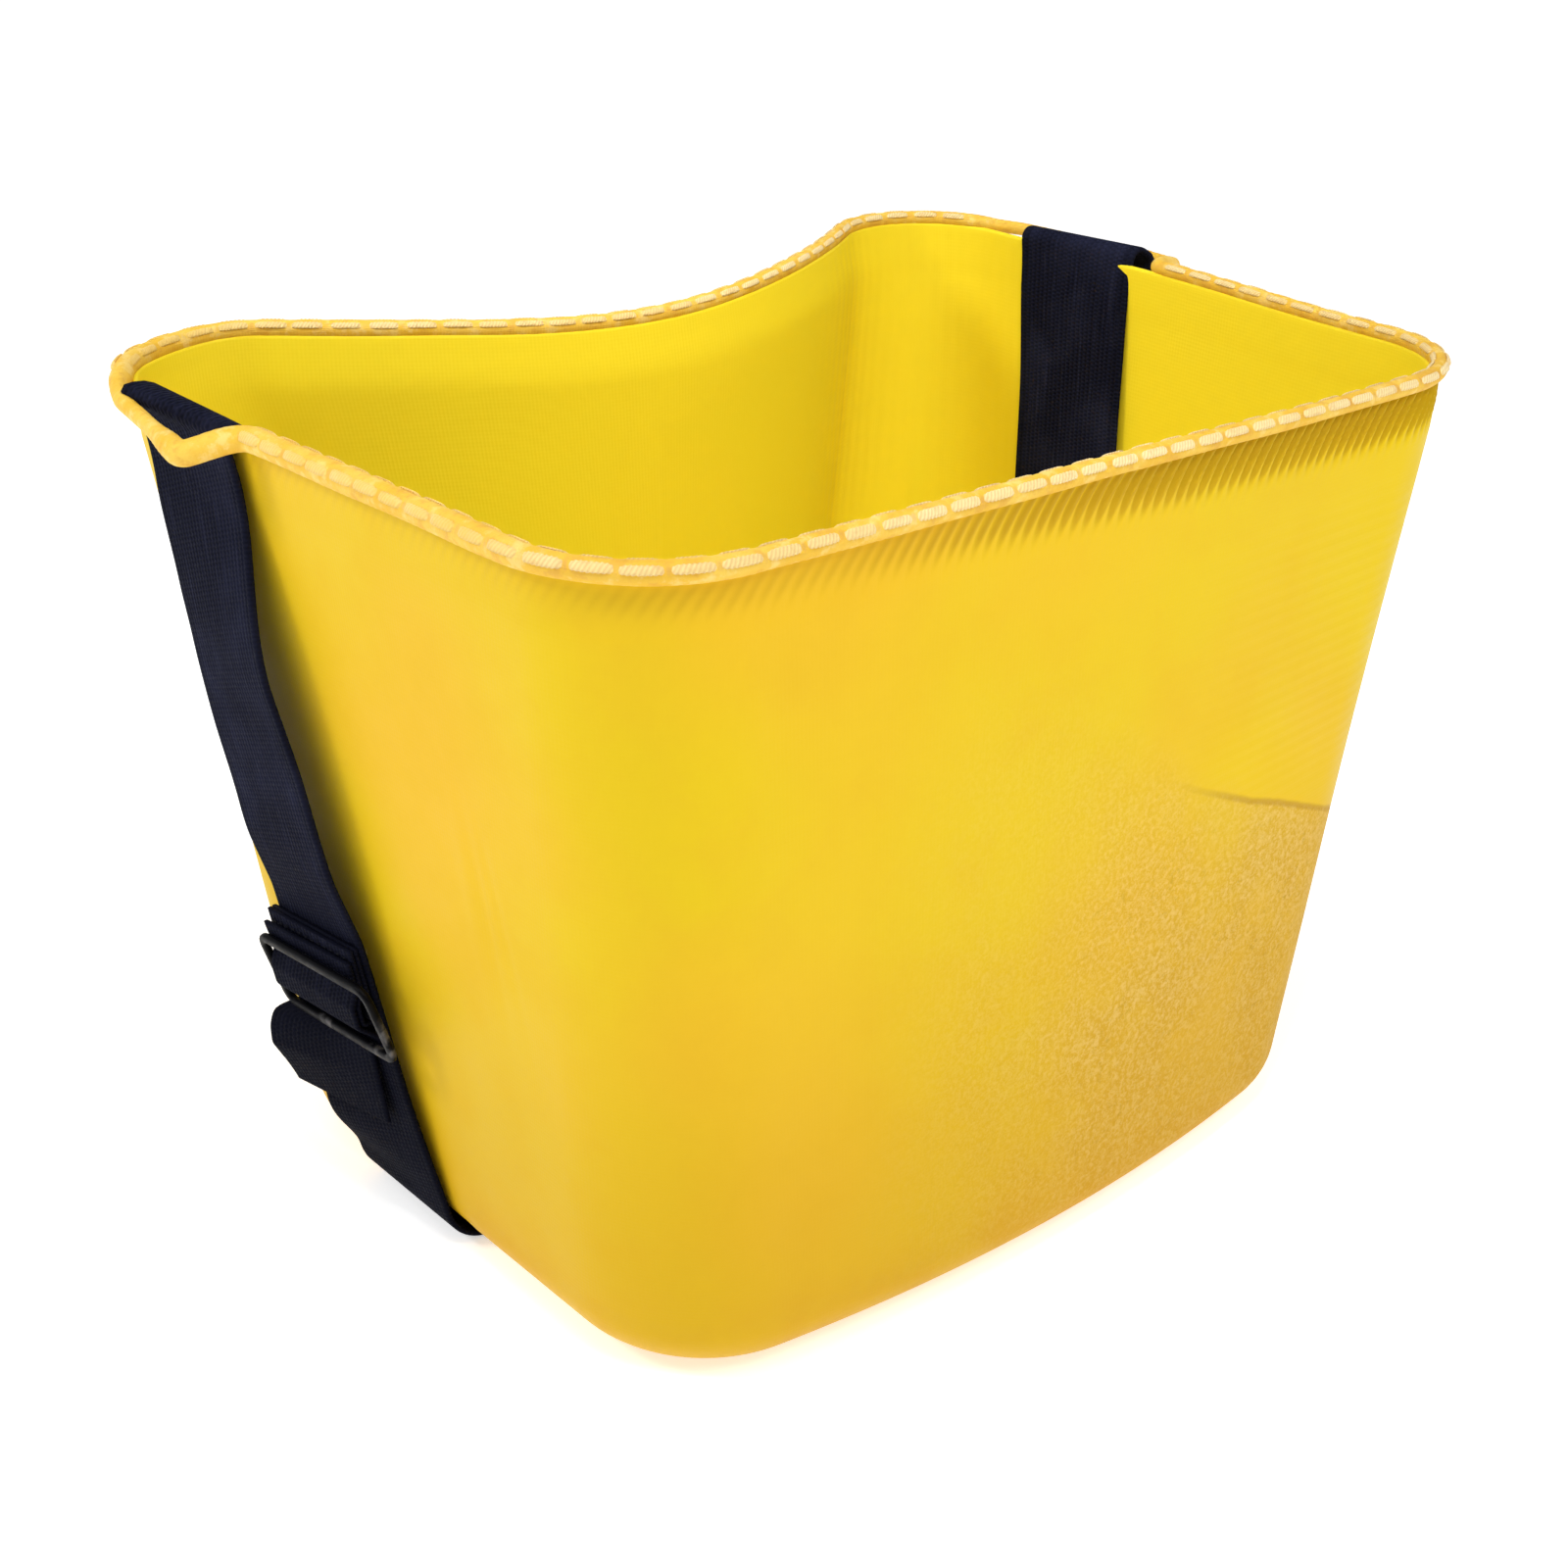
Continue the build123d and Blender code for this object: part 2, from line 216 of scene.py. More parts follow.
# =================================================================== node helpers
class Nodes:
    def __init__(self, name):
        self.mat = bpy.data.materials.new(name)
        self.mat.use_nodes = True
        self.t = self.mat.node_tree
        self.bsdf = next(n for n in self.t.nodes if n.type == "BSDF_PRINCIPLED")

    def new(self, kind, **props):
        n = self.t.nodes.new(kind)
        for k, v in props.items():
            setattr(n, k, v)
        return n

    def put(self, sock, v):
        if isinstance(v, bpy.types.NodeSocket):
            self.t.links.new(v, sock)
        else:
            sock.default_value = v

    def math(self, op, a, b=None, clamp=False):
        n = self.new("ShaderNodeMath", operation=op, use_clamp=clamp)
        self.put(n.inputs[0], a)
        if b is not None:
            self.put(n.inputs[1], b)
        return n.outputs[0]

    def obj(self):
        return self.new("ShaderNodeTexCoord").outputs["Object"]

    def uv(self):
        s = self.new("ShaderNodeSeparateXYZ")
        self.put(s.inputs[0], self.new("ShaderNodeUVMap", uv_map="UVMap").outputs[0])
        return s.outputs[0], s.outputs[1]

    def xyz(self):
        s = self.new("ShaderNodeSeparateXYZ")
        self.put(s.inputs[0], self.obj())
        return s.outputs

    def attr(self, name):
        return self.new("ShaderNodeAttribute", attribute_name=name).outputs["Fac"]

    def noise(self, scale, detail=3.0, rough=0.55, vec=None, distort=0.0):
        n = self.new("ShaderNodeTexNoise")
        self.put(n.inputs["Vector"], vec if vec is not None else self.obj())
        n.inputs["Scale"].default_value = scale
        n.inputs["Detail"].default_value = detail
        n.inputs["Roughness"].default_value = rough
        n.inputs["Distortion"].default_value = distort
        return n.outputs[0]

    def voronoi(self, scale, vec=None):
        n = self.new("ShaderNodeTexVoronoi")
        self.put(n.inputs["Vector"], vec if vec is not None else self.obj())
        n.inputs["Scale"].default_value = scale
        return n.outputs["Distance"]

    def stretch(self, sx, sy, sz, vec=None):
        m = self.new("ShaderNodeMapping")
        self.put(m.inputs["Vector"], vec if vec is not None else self.obj())
        m.inputs["Scale"].default_value = (sx, sy, sz)
        return m.outputs[0]

    def remap(self, v, a, b, lo=0.0, hi=1.0):
        n = self.new("ShaderNodeMapRange", interpolation_type="SMOOTHSTEP")
        self.put(n.inputs[0], v)
        for k, x in zip((1, 2, 3, 4), (a, b, lo, hi)):
            n.inputs[k].default_value = x
        return n.outputs[0]

    def blend(self, fac, a, b, mode="MIX"):
        n = self.new("ShaderNodeMix", data_type="RGBA", blend_type=mode)
        self.put(n.inputs[0], fac)
        self.put(n.inputs[6], a)
        self.put(n.inputs[7], b)
        return n.outputs[2]

    def wave(self, v, pitch, phase=0.0):
        """0..1 sine of a length coordinate in metres."""
        a = self.math("MULTIPLY", v, 2 * PI / pitch)
        if not isinstance(phase, float) or phase:
            a = self.math("ADD", a, phase)
        return self.math("MULTIPLY_ADD", self.math("SINE", a), 0.5, ) if False else self.math(
            "ADD", self.math("MULTIPLY", self.math("SINE", a), 0.5), 0.5)

    def normal(self, *layers):
        """Chained bumps: (height socket, strength, distance in m)."""
        last = None
        for h, st, d in layers:
            n = self.new("ShaderNodeBump")
            n.inputs["Strength"].default_value = st
            n.inputs["Distance"].default_value = d
            self.put(n.inputs["Height"], h)
            if last is not None:
                self.put(n.inputs["Normal"], last)
            last = n.outputs[0]
        self.put(self.bsdf.inputs["Normal"], last)

    def set(self, **kw):
        for k, v in kw.items():
            self.put(self.bsdf.inputs[k.replace("_", " ")], v)


def srgb(r, g, b):
    def lin(c):
        c /= 255.0
        return c / 12.92 if c <= 0.04045 else ((c + 0.055) / 1.055) ** 2.4
    return (lin(r), lin(g), lin(b), 1.0)


# =================================================================== tub
COUNTS = (150, 64, 130, 60, 108)
H = sum(COUNTS)                                   # index of the back's middle column
RIM_P, RIM_N = outline(RIM, COUNTS)
S = arc_length(RIM_P)
NCOL = len(RIM_P)
cols = np.arange(NCOL)
half_idx = np.where(cols <= H, cols, NCOL - cols)     # the same for both halves
side = np.where(cols <= H, 1.0, -1.0)
LEN = S[-1]
s_mid = np.where(S[:-1] > LEN / 2, S[:-1] - LEN, S[:-1])     # signed distance from the front's middle
n1, n2, n3, n4 = np.cumsum(COUNTS[:4])
RAISE = rim_raise(RIM_P)
NOISE_PH = rng.uniform(0, 2 * PI, 40)


def wander(s, n=7, base=0):
    """Smooth periodic variation along the rim, about -1..1."""
    out = np.zeros_like(np.asarray(s, float))
    for k in range(1, n + 1):
        out += np.sin(2 * PI * k * s / LEN + NOISE_PH[base + k]) / math.sqrt(k)
    return out / 2.2


# ridges where the cloth is gathered under the edging, strongest on the right half of the front
front_w = smooth(-150, -20, s_mid) * (1 - smooth(150, 190, np.abs(s_mid)))
PUCKER = 0.07 + 0.03 * smooth(-120, -60, s_mid) + 0.22 * (1 - smooth(150, 200, s_mid)) * smooth(-178, -112, s_mid) + 0.50 * smooth(-60, 50, s_mid) * (1 - smooth(150, 195, s_mid))
PUCKER = PUCKER * (0.78 + 0.5 * wander(S[:-1], 12, 3))


def pucker_lean(z):
    """Sideways run of a gather: slanting under the edging, upright lower down."""
    return 1.0 * z + 0.026 * np.clip(252.0 - z, 0, 18) ** 2


PUCK_PHASE = 2 * PI * s_mid / 4.5 + 2.4 * wander(S[:-1], 14, 14)


def wall_move(z, P):
    """Soft unevenness of the wall, outwards in mm, shared by both faces."""
    x, y = P[:, 0], P[:, 1]
    up = smooth(20, 90, z) * (1 - smooth(215, 245, z))
    d = 0.55 * np.sin(s_mid / 63.0 + 0.8) * np.sin(z / 58.0 + 0.5) + 0.35 * np.sin(s_mid / 27.0 + z / 41.0 + 2.0)
    front = bump(s_mid, 0, 120)
    d = d * up * (0.45 + 0.75 * front)
    d += 0.9 * front * bump(z, 95, 70) * np.cos(s_mid / 80.0)
    back = (y > 60) & (np.abs(x) < 130)
    d += np.where(back, 1.1 * np.sin(x / 48.0 + 0.6) * np.sin(z / 75.0) * smooth(30, 120, z) * (1 - smooth(200, 240, z)), 0.0)
    # short creases in the left end wall, near the front corner
    cr = np.where(x < -120, 1.0, 0.0)
    for y0, lean, a, w in ((-52.0, 0.10, -0.55, 2.4), (-59.5, 0.16, -0.42, 2.0), (-46.0, 0.05, 0.30, 3.0)):
        d += cr * a * bump(y, y0 + lean * (z - 140), w) * bump(z, 141, 26)
    return d


def base_room(y):
    """The soft base gives way over the webbing."""
    return 2.75 * smooth(0, 6.0, 31.0 - np.abs(np.asarray(y, float) - BASE_Y))


rows, rv, outer_face = [], [], []
dust, puck, bottom = [], [], []


def spine_of(zlift):
    w = 1 - np.abs(2.0 * half_idx / H - 1.0)
    return np.stack([side * 82.0 * w, np.full(NCOL, -14.0 + 2.0)], 1)


def add_row(P2, z, v, face):
    zz = np.full(NCOL, float(z)) if np.isscalar(z) else z
    rows.append(np.column_stack([P2, zz]))
    rv.append(v)
    outer_face.append(np.full(NCOL, face))


def row_at(z, p, face, din=0.0):
    P2, N2 = outline(p, COUNTS)
    d = wall_move(z, P2)
    if face > 0.5:
        env = bump(z, 246.5, 7.0) * smooth(228, 240, z)
        ph = PUCK_PHASE - 2 * PI * pucker_lean(z) / 4.5
        ridge = np.sin(ph) + 0.35 * np.sin(2 * ph + 0.9)
        d = d + PUCKER * env * ridge
    zz = z + RAISE * smooth(165, 250, z)
    return P2 + N2 * (d - din)[:, None] if not np.isscalar(din) else P2 + N2 * (d - din)[:, None], zz


# base, from the middle outwards
base_p = inset(wall_at(0), EDGE_R)
B2, _ = outline(base_p, COUNTS)
sp = spine_of(0) + np.array([0.0, 14.0])               # closes under the webbing
v = 0.0
for w in np.linspace(1.0, 0.0, 16):
    P2 = B2 + (sp - B2) * w
    add_row(P2, base_room(P2[:, 1]) * 0.92 + 0.02, v, 1.0)
    v += 7.0
# rounded edge
for k in range(1, 13):
    a = math.radians(7.5 * k)
    z = EDGE_R * (1 - math.cos(a))
    P2, zz = row_at(z, inset(wall_at(z), EDGE_R * (1 - math.sin(a))), 1.0)
    zz = zz + base_room(P2[:, 1]) * 0.92 * (1 - smooth(0, 13, z)) * (np.abs(P2[:, 0]) > 100)
    add_row(P2, zz, v, 1.0)
    v += EDGE_R * math.radians(7.5)
# wall and lip
zs = np.concatenate([np.arange(22.0, 214.0, 4.0), np.arange(214.0, 228.0, 2.0), np.arange(228.0, 252.0, 0.8)])
for z in zs:
    P2, zz = row_at(z, lip_at(z), 1.0)
    add_row(P2, zz, z, 1.0)
# over the lip
for k in range(0, 9):
    a = PI * k / 8
    P2, N2 = outline(inset(RIM, LIP_IN + WALL / 2), COUNTS)
    zz = 251.6 + RAISE + 1.15 * math.sin(a)
    add_row(P2 + N2 * (WALL / 2 * math.cos(a)), zz, 252.0 + 0.4 * k, 1.0 if k < 4 else 0.0)
# inside wall
IN_R = EDGE_R - WALL
zin = np.concatenate([np.arange(250.0, 228.0, -2.0), np.arange(228.0, FLOOR + IN_R + 2, -4.0)])
for z in zin:
    P2, zz = row_at(z, inset(lip_at(z), WALL), 0.0)
    add_row(P2, zz, 256.0 + (252.0 - z), 0.0)
v = 256.0 + 252.0 - FLOOR - IN_R
for k in range(0, 11):
    a = math.radians(90 - 9.0 * k)
    z = FLOOR + IN_R * (1 - math.cos(a))
    P2, zz = row_at(z, inset(wall_at(z), WALL + IN_R * (1 - math.sin(a))), 0.0)
    add_row(P2, zz, v, 0.0)
    v += IN_R * math.radians(9.0)
F2, _ = outline(inset(wall_at(FLOOR), WALL + IN_R), COUNTS)
for w in np.linspace(0.06, 1.0, 15):
    P2 = F2 + (sp - F2) * w
    add_row(P2, FLOOR + 0.12 * np.sin(P2[:, 0] / 17.0) * np.sin(P2[:, 1] / 21.0) * (1 - w) * w * 4 - 0.1, v, 0.0)
    v += 7.0

TUB = np.stack(rows)
OUT = np.stack(outer_face)
X, Y, Z = TUB[..., 0], TUB[..., 1], TUB[..., 2]
# dusty rubbed patch on the lower right of the front
front_face = OUT * smooth(-35, -112, Y)
line_z = 165.4 - 0.435 * X + 1.6 * np.sin(X / 11.0) + 0.9 * np.sin(X / 4.3)
soft = 2.2 + 42.0 * smooth(62, -25, X)
D1 = front_face * (1 - smooth(-1.0, 1.0, (Z - line_z - 6.0 * smooth(25, 75, X)) / soft)) * smooth(-95, 35, X) * (0.42 + 0.58 * smooth(150, 70, Z))
D1 = np.clip(D1 + 0.35 * front_face * bump(X, 78, 34) * bump(Z, 62, 48), 0, 1)
PKP = PUCK_PHASE[None] - 2 * PI * pucker_lean(Z) / 4.5
# painted shade: darker in the valleys of the gathers under the edging, plus a painted shade band just below the edging
PUCKER_SHADE = PUCKER[None] * OUT * bump(Z, 248.0, 7.0) * (0.5 - 0.5 * np.sin(PKP)) * 2.1
PUCKER_SHADE = np.clip(PUCKER_SHADE + 0.20 * OUT * bump(Z, 250.5, 6.0), 0, 1)
LOWD = OUT * smooth(40, 6, Z)
LINES = OUT * smooth(-80, -100, Y) * smooth(20, 80, X) * smooth(110, 150, Z) * smooth(232, 215, Z)
RIBS = (1 - OUT) * smooth(80, 120, X) * smooth(10, 60, Y) * smooth(40, 120, Z)
REPAIR = smooth(25, 75, X) * front_face
tub = grid_mesh("tub_cloth", TUB, np.append(S[:-1], S[-1]), np.array(rv), closed=True, merge=0.02,
                attrs={"dust": D1, "pucker_shade": PUCKER_SHADE, "low": LOWD, "lines": LINES, "ribs": RIBS, "inside": 1 - OUT, "edge": REPAIR})

# =================================================================== rolled edging
BC = (190, 92, 300, 120, 210)
BP, BN = outline(RIM, BC)
BS = arc_length(BP)[:-1]
bh = sum(BC)
bi = np.where(np.arange(len(BP)) <= bh, np.arange(len(BP)), len(BP) - np.arange(len(BP)))
m1, m2, m3, m4 = np.cumsum(BC[:4])
half_s = BS[:bh + 1]
yy = BP[m2, 1] + (half_s - half_s[m2]) * CT            # runs on past the end, round the shoulder
KY = [-400, 18, 27, 31, 34, 36, 38, 40, 52, 71, 88, 97, 108, 118, 600]
KD = [0, 0, 0.2, 1.2, 4.2, 9.6, 13.8, 14.4, 12.4, 9.0, 6.4, 3.0, 0.7, 0, 0]
KZ = [0, 0, 0.1, 0.2, -0.3, -2.0, -3.6, -3.8, -3.1, -2.5, -1.7, -0.7, -0.1, 0, 0]


def soften(f, s, sigma):
    out = np.empty_like(f)
    for k in range(len(f)):
        w = np.exp(-0.5 * ((s - s[k]) / sigma) ** 2)
        out[k] = (w * f).sum() / w.sum()
    return out


# on the right the webbing lies nearer the front and stands out further
KY_R = [-400, 6, 12, 15, 17.5, 20, 22, 25, 37.5, 56.5, 74, 82, 94, 108, 600]
KD_R = [0, 0, 0.2, 1.6, 6.0, 12.4, 16.8, 17.6, 16.6, 13.2, 9.2, 5.0, 1.2, 0, 0]
on_right = np.arange(len(BP)) <= bh
OUTW = np.where(on_right, soften(np.interp(yy, KY_R, KD_R), half_s, 1.6)[bi], soften(np.interp(yy, KY, KD), half_s, 1.5)[bi])
DIPZ = np.where(on_right, soften(np.interp(yy, KY_R, KZ), half_s, 2.0)[bi], soften(np.interp(yy, KY, KZ), half_s, 1.8)[bi])
bsm = np.where(BS > BS[bh], BS - arc_length(BP)[-1], BS)                  # signed distance from the front's middle
THIN = np.interp(bsm, [-700, -440, -385, -330, -240, -205, -165, -105, 20, 90, 160, 700], [1, 0.9, 0.6, 0.5, 0.5, 0.5, 0.8, 0.88, 0.92, 1, 1, 1])
THIN = np.convolve(np.concatenate([THIN[-40:], THIN, THIN[:40]]), np.hanning(41) / np.hanning(41).sum(), "same")[40:-40]
PATH = BP + BN * (OUTW - 2.3 * THIN * (1 - smooth(0.4, 4.0, OUTW)))[:, None]
PATHZ = BEAD_Z + rim_raise(BP) + DIPZ
PATH3 = np.column_stack([PATH, PATHZ])
TAN = np.roll(PATH3, -1, 0) - np.roll(PATH3, 1, 0)
TAN /= np.linalg.norm(TAN, axis=1)[:, None]
ROUT = np.column_stack([TAN[:, 1], -TAN[:, 0], np.zeros(len(TAN))])
ROUT /= np.linalg.norm(ROUT, axis=1)[:, None]
RUP = np.cross(ROUT, TAN)
RUP *= np.sign(RUP[:, 2:3])
PS = np.concatenate([[0], np.cumsum(np.linalg.norm(np.roll(PATH3, -1, 0) - PATH3, axis=1))])
PLEN = PS[-1]
NST = int(round(PLEN / 11.3))
PITCH = PLEN / NST
ps = PS[:-1]
phase = (ps / PITCH) % 1.0                            # 0 at a needle hole, 0.5 in the middle of a dash
gap = np.minimum(phase, 1 - phase) * PITCH
in_slot = smooth(3.0, 7.0, OUTW)
K = 24
ang = np.linspace(0, 2 * PI, K, endpoint=False)
jit = np.interp(ps, np.arange(NST + 1) * PITCH, rng.uniform(-1, 1, NST + 1))
slim = (1 - 0.30 * smooth(44, 64, yy) * (1 - smooth(94, 108, yy)))[bi]     # drawn tight where it leaves the wall
slim = np.where(BP[:, 0] < 0, slim, 1 - 0.4 * (1 - slim))
RLOC = (BEAD_R - 1.7 * THIN) * slim
rad = np.full((len(BP), K), BEAD_R)
top = 0.5 + 0.5 * np.sin(ang + 0.35)                  # the thread pulls the upper and outer side in
outer_w = 0.35 + 0.65 * smooth(-0.9, 0.3, np.cos(ang - 0.9))
needle = 0.25 + bump(ang, math.radians(30), 0.55) + 0.7 * bump(ang, math.radians(140), 0.5)
rad += (-0.17 * bump(gap, 0, 0.8) + 0.05 * smooth(1.0, 5.0, gap))[:, None] * needle[None, :]
# the thread presses a shallow trough between two needle holes
trough = bump(ang[None, :], math.radians(30), 0.30) + 0.8 * bump(ang[None, :], math.radians(142), 0.30)
rad -= 0.22 * trough * smooth(0.3, 1.6, gap)[:, None] * (1 - in_slot)[:, None]
# small slanting wrinkles
wr = np.sin(2 * PI * ps[:, None] / 2.9 + 2.2 * ang[None, :] + 3 * jit[:, None]) * (0.06 + 0.05 * wander(ps * LEN / PLEN, 13, 20)[:, None])
rad += wr * outer_w[None, :]
rad += 0.10 * np.sin(ps / 9.0 + 1.0)[:, None]
rad *= (RLOC / BEAD_R)[:, None]
BEAD = PATH3[:, None, :] + rad[..., None] * (np.cos(ang)[None, :, None] * ROUT[:, None, :] + np.sin(ang)[None, :, None] * RUP[:, None, :])
# painted shade in the needle holes, along the thread's path on the edging
groove_shade = (bump(gap, 0, 1.0)[:, None] * np.clip(needle - 0.25, 0, 1)[None, :]) * (1 - 0.6 * in_slot)[:, None]
BEADG = np.concatenate([BEAD, BEAD[:1]], 0)
bead = grid_mesh("rim_bead", BEADG, np.linspace(0, 2 * PI * BEAD_R, K + 1), np.append(ps, PLEN), closed=True, merge=0.002, flip=True,
                 attrs={"groove_shade": np.concatenate([groove_shade, groove_shade[:1]], 0), "under": np.repeat((np.sin(ang) < -0.2).astype(float)[None], len(BP) + 1, 0)})


def tube_on_path(name, a, b, r, n=12, step=3):
    idx = (np.arange(a, b, step)) % len(PATH3)
    an = np.linspace(0, 2 * PI, n, endpoint=False)
    P = PATH3[idx][:, None, :] + r * (np.cos(an)[None, :, None] * ROUT[idx][:, None, :] + np.sin(an)[None, :, None] * RUP[idx][:, None, :])
    return grid_mesh(name, P, np.linspace(0, 2 * PI * r, n + 1), np.arange(len(idx)) * 2.0, closed=True, caps=True, flip=True)


nb_mid = bh
hoop = tube_on_path("hoop_wire", nb_mid + 3, nb_mid + len(PATH3) - 2, 1.7)
ferr_idx = np.arange(nb_mid - 24, nb_mid + 25, 2)
an = np.linspace(0, 2 * PI, 16, endpoint=False)
fr = 2.35 - 0.3 * (bump(np.arange(25), 6, 1.2) + bump(np.arange(25), 18, 1.2))
FER = PATH3[ferr_idx][:, None, :] + fr[:, None, None] * (np.cos(an)[None, :, None] * ROUT[ferr_idx][:, None, :] + np.sin(an)[None, :, None] * RUP[ferr_idx][:, None, :])
ferrule = grid_mesh("hoop_ferrule", FER, np.linspace(0, 22, 17), np.arange(25) * 1.2, closed=True, caps=True, flip=True)


# =================================================================== running stitches
def dash(s0, length, phi, width, height, sink=0.5, n=26, m=14, turns=3.0):
    """One visible length of twisted thread lying on the edging."""
    w = np.linspace(-1, 1, n)
    s = (s0 + w * length / 2) % PLEN
    c = np.empty((n, 3)); o = np.empty((n, 3)); u = np.empty((n, 3))
    ext = np.vstack([PATH3, PATH3[:1]])
    for k in range(3):
        c[:, k] = np.interp(s, PS, ext[:, k])
        o[:, k] = np.interp(s, PS, np.append(ROUT[:, k], ROUT[0, k]))
        u[:, k] = np.interp(s, PS, np.append(RUP[:, k], RUP[0, k]))
    nrm = np.cos(phi) * o + np.sin(phi) * u
    acr = -np.sin(phi) * o + np.cos(phi) * u
    rl = np.interp(s, PS, np.append(RLOC, RLOC[0]))
    fit = (0.76 + 0.24 * (rl - 2.7) / 1.7)[:, None]
    lift = rl - 0.12 + 0.26 * (1 - w ** 4) - sink * np.abs(w) ** 8 * 1.4
    env = np.sqrt(np.clip(1 - np.abs(w) ** 5, 0.03, 1))
    th = np.linspace(0, 2 * PI, m, endpoint=False)
    tw = 1 + 0.13 * np.cos(3 * (th[None, :] - turns * PI * w[:, None]))
    return (c[:, None, :] + nrm[:, None, :] * (lift[:, None, None] + (fit * height / 2 * env[:, None] * tw * np.sin(th)[None, :])[..., None])
            + acr[:, None, :] * ((fit * width / 2 * env[:, None] * tw * np.cos(th)[None, :])[..., None]))


parts = []
slot_at = lambda s: np.interp(s % PLEN, PS, np.append(OUTW, OUTW[0]))
for i in range(NST):
    s0 = (i + 0.5) * PITCH
    if slot_at(s0) > 0.45:
        continue
    ln = 10.7 + rng.uniform(-0.6, 0.4)
    P = dash(s0 + rng.uniform(-0.3, 0.3), ln, math.radians(30 + rng.uniform(-3, 3)), 3.1 + rng.uniform(-0.25, 0.3), 1.2)
    parts.append((P, np.linspace(0, 6.0, P.shape[1] + 1), np.linspace(0, ln, P.shape[0])))
    P = dash(s0 + rng.uniform(-0.3, 0.3), ln - 0.4, math.radians(142 + rng.uniform(-3, 3)), 2.6 + rng.uniform(-0.2, 0.2), 1.0)
    parts.append((P, np.linspace(0, 6.0, P.shape[1] + 1), np.linspace(0, ln, P.shape[0])))
thread = join_grids("rim_thread", parts)
tv = np.empty(3 * len(thread.data.vertices))
thread.data.vertices.foreach_get("co", tv)
tv = tv.reshape(-1, 3) / MM
worn = smooth(-100, -150, tv[:, 0]) * smooth(-105, -80, tv[:, 1])            # rubbed yellow along the left end
thread.data.attributes.new("worn", "FLOAT", "POINT").data.foreach_set("value", worn.astype(np.float32))


# =================================================================== webbing
def rounded(route, step=1.6):
    """Closed or open polyline with rounded corners, as points. route: [((a, b), radius)]."""
    out = []
    n = len(route)
    for k in range(n):
        p = np.array(route[k][0], float)
        r = route[k][1]
        if r is None:
            out.append([p])
            continue
        a, b = np.array(route[k - 1][0], float), np.array(route[(k + 1) % n][0], float)
        da, db = (a - p) / np.linalg.norm(a - p), (b - p) / np.linalg.norm(b - p)
        half = math.acos(max(-1, min(1, float(da @ db)))) / 2
        if PI / 2 - half < 1e-3:
            out.append([p])
            continue
        t = r / math.tan(half)
        t0, t1 = p + da * t, p + db * t
        c = p + (da + db) / np.linalg.norm(da + db) * (r / math.sin(half))
        a0, a1 = math.atan2(*(t0 - c)[::-1]), math.atan2(*(t1 - c)[::-1])
        da_ = (a1 - a0 + PI) % (2 * PI) - PI
        m = max(5, int(abs(da_) * r / min(step, max(0.35, r / 10))))
        out.append([c + r * np.array([math.cos(a0 + da_ * q), math.sin(a0 + da_ * q)]) for q in np.linspace(0, 1, m)])
    pts = np.concatenate(out)
    return pts


def resample(pts, step, closed):
    q = np.vstack([pts, pts[:1]]) if closed else pts
    s = np.concatenate([[0], np.cumsum(np.linalg.norm(np.diff(q, axis=0), axis=1))])
    n = int(round(s[-1] / step))
    t = np.linspace(0, s[-1], n + 1)
    if closed:
        t = t[:-1]
    return np.stack([np.interp(t, s, q[:, k]) for k in range(q.shape[1])], 1), t, s[-1]


def band_section(width, thick, na=22):
    """Closed cross-section of webbing: flat faces, rounded and slightly thicker selvedges. (across, out)."""
    hw, ht = width / 2, thick / 2
    a = np.linspace(-1, 1, na)
    xs = a * (hw - ht)
    crown = ht * (1 - 0.10 * bump(np.abs(xs), hw - 4.2, 0.8) + 0.03 * np.cos(xs * 1.4))
    e = np.linspace(PI / 2, -PI / 2, 7)[1:-1]
    upper = np.stack([xs, crown], 1)
    right = np.stack([hw - ht + ht * np.cos(e), ht * np.sin(e)], 1)
    lower = np.stack([xs[::-1], -crown[::-1]], 1)
    left = -right
    return np.concatenate([upper, right, lower, left])


def band_mesh(name, C, W, Nn, s, width, thick, closed, parts=None, attrs=None):
    """Sweep the webbing section along centres C with across vectors W (front to back) and normals Nn."""
    sec = band_section(width, thick)
    P = C[:, None, :] + sec[None, :, 0, None] * W[:, None, :] + sec[None, :, 1, None] * Nn[:, None, :]
    d = np.concatenate([[0], np.cumsum(np.linalg.norm(np.diff(np.vstack([sec, sec[:1]]), axis=0), axis=1))])
    na = 22
    U = np.concatenate([np.linspace(0, width, na), np.full(5, width), np.linspace(width, 0, na), np.full(5, 0.0), [0.0]])
    return P, U, s


LEFT_ROUTE = [((146.5, 1.15), 14.0), ((154.8, 52.0), 90.0), ((162.6, 107.0), 30.0), ((167.7, 126.0), 60.0), ((170.2, 152.0), 200.0),
              ((173.9, 190.0), 180.0), ((171.9, 238.0), 90.0), ((174.2, 254.6), 3.6), ((170.4, 258.7), 2.4), ((164.6, 240.0), 40.0),
              ((142.3, 40.0), 60.0), ((136.0, 6.3), 14.0)]
RIGHT_ROUTE = [((146.5, 1.15), 14.0), ((154.8, 52.0), 90.0), ((168.6, 140.0), 200.0), ((177.6, 214.0), 120.0),
               ((177.6, 256.8), 5.0), ((167.2, 262.4), 4.0), ((163.8, 240.0), 60.0),
               ((142.3, 40.0), 60.0), ((136.0, 6.3), 14.0)]
full = [(p, r) for p, r in RIGHT_ROUTE] + [((-p[0], p[1]), r) for p, r in reversed(LEFT_ROUTE)]
route_xz, route_s, ROUTE_LEN = resample(rounded(full), 1.2, True)
rx, rz = route_xz[:, 0], route_xz[:, 1]
k_top_r = int(np.argmax(np.where(rx > 0, rz, -1)))
k_top_l = int(np.argmax(np.where(rx < 0, rz, -1)))
nR = len(rx)
k = np.arange(nR)
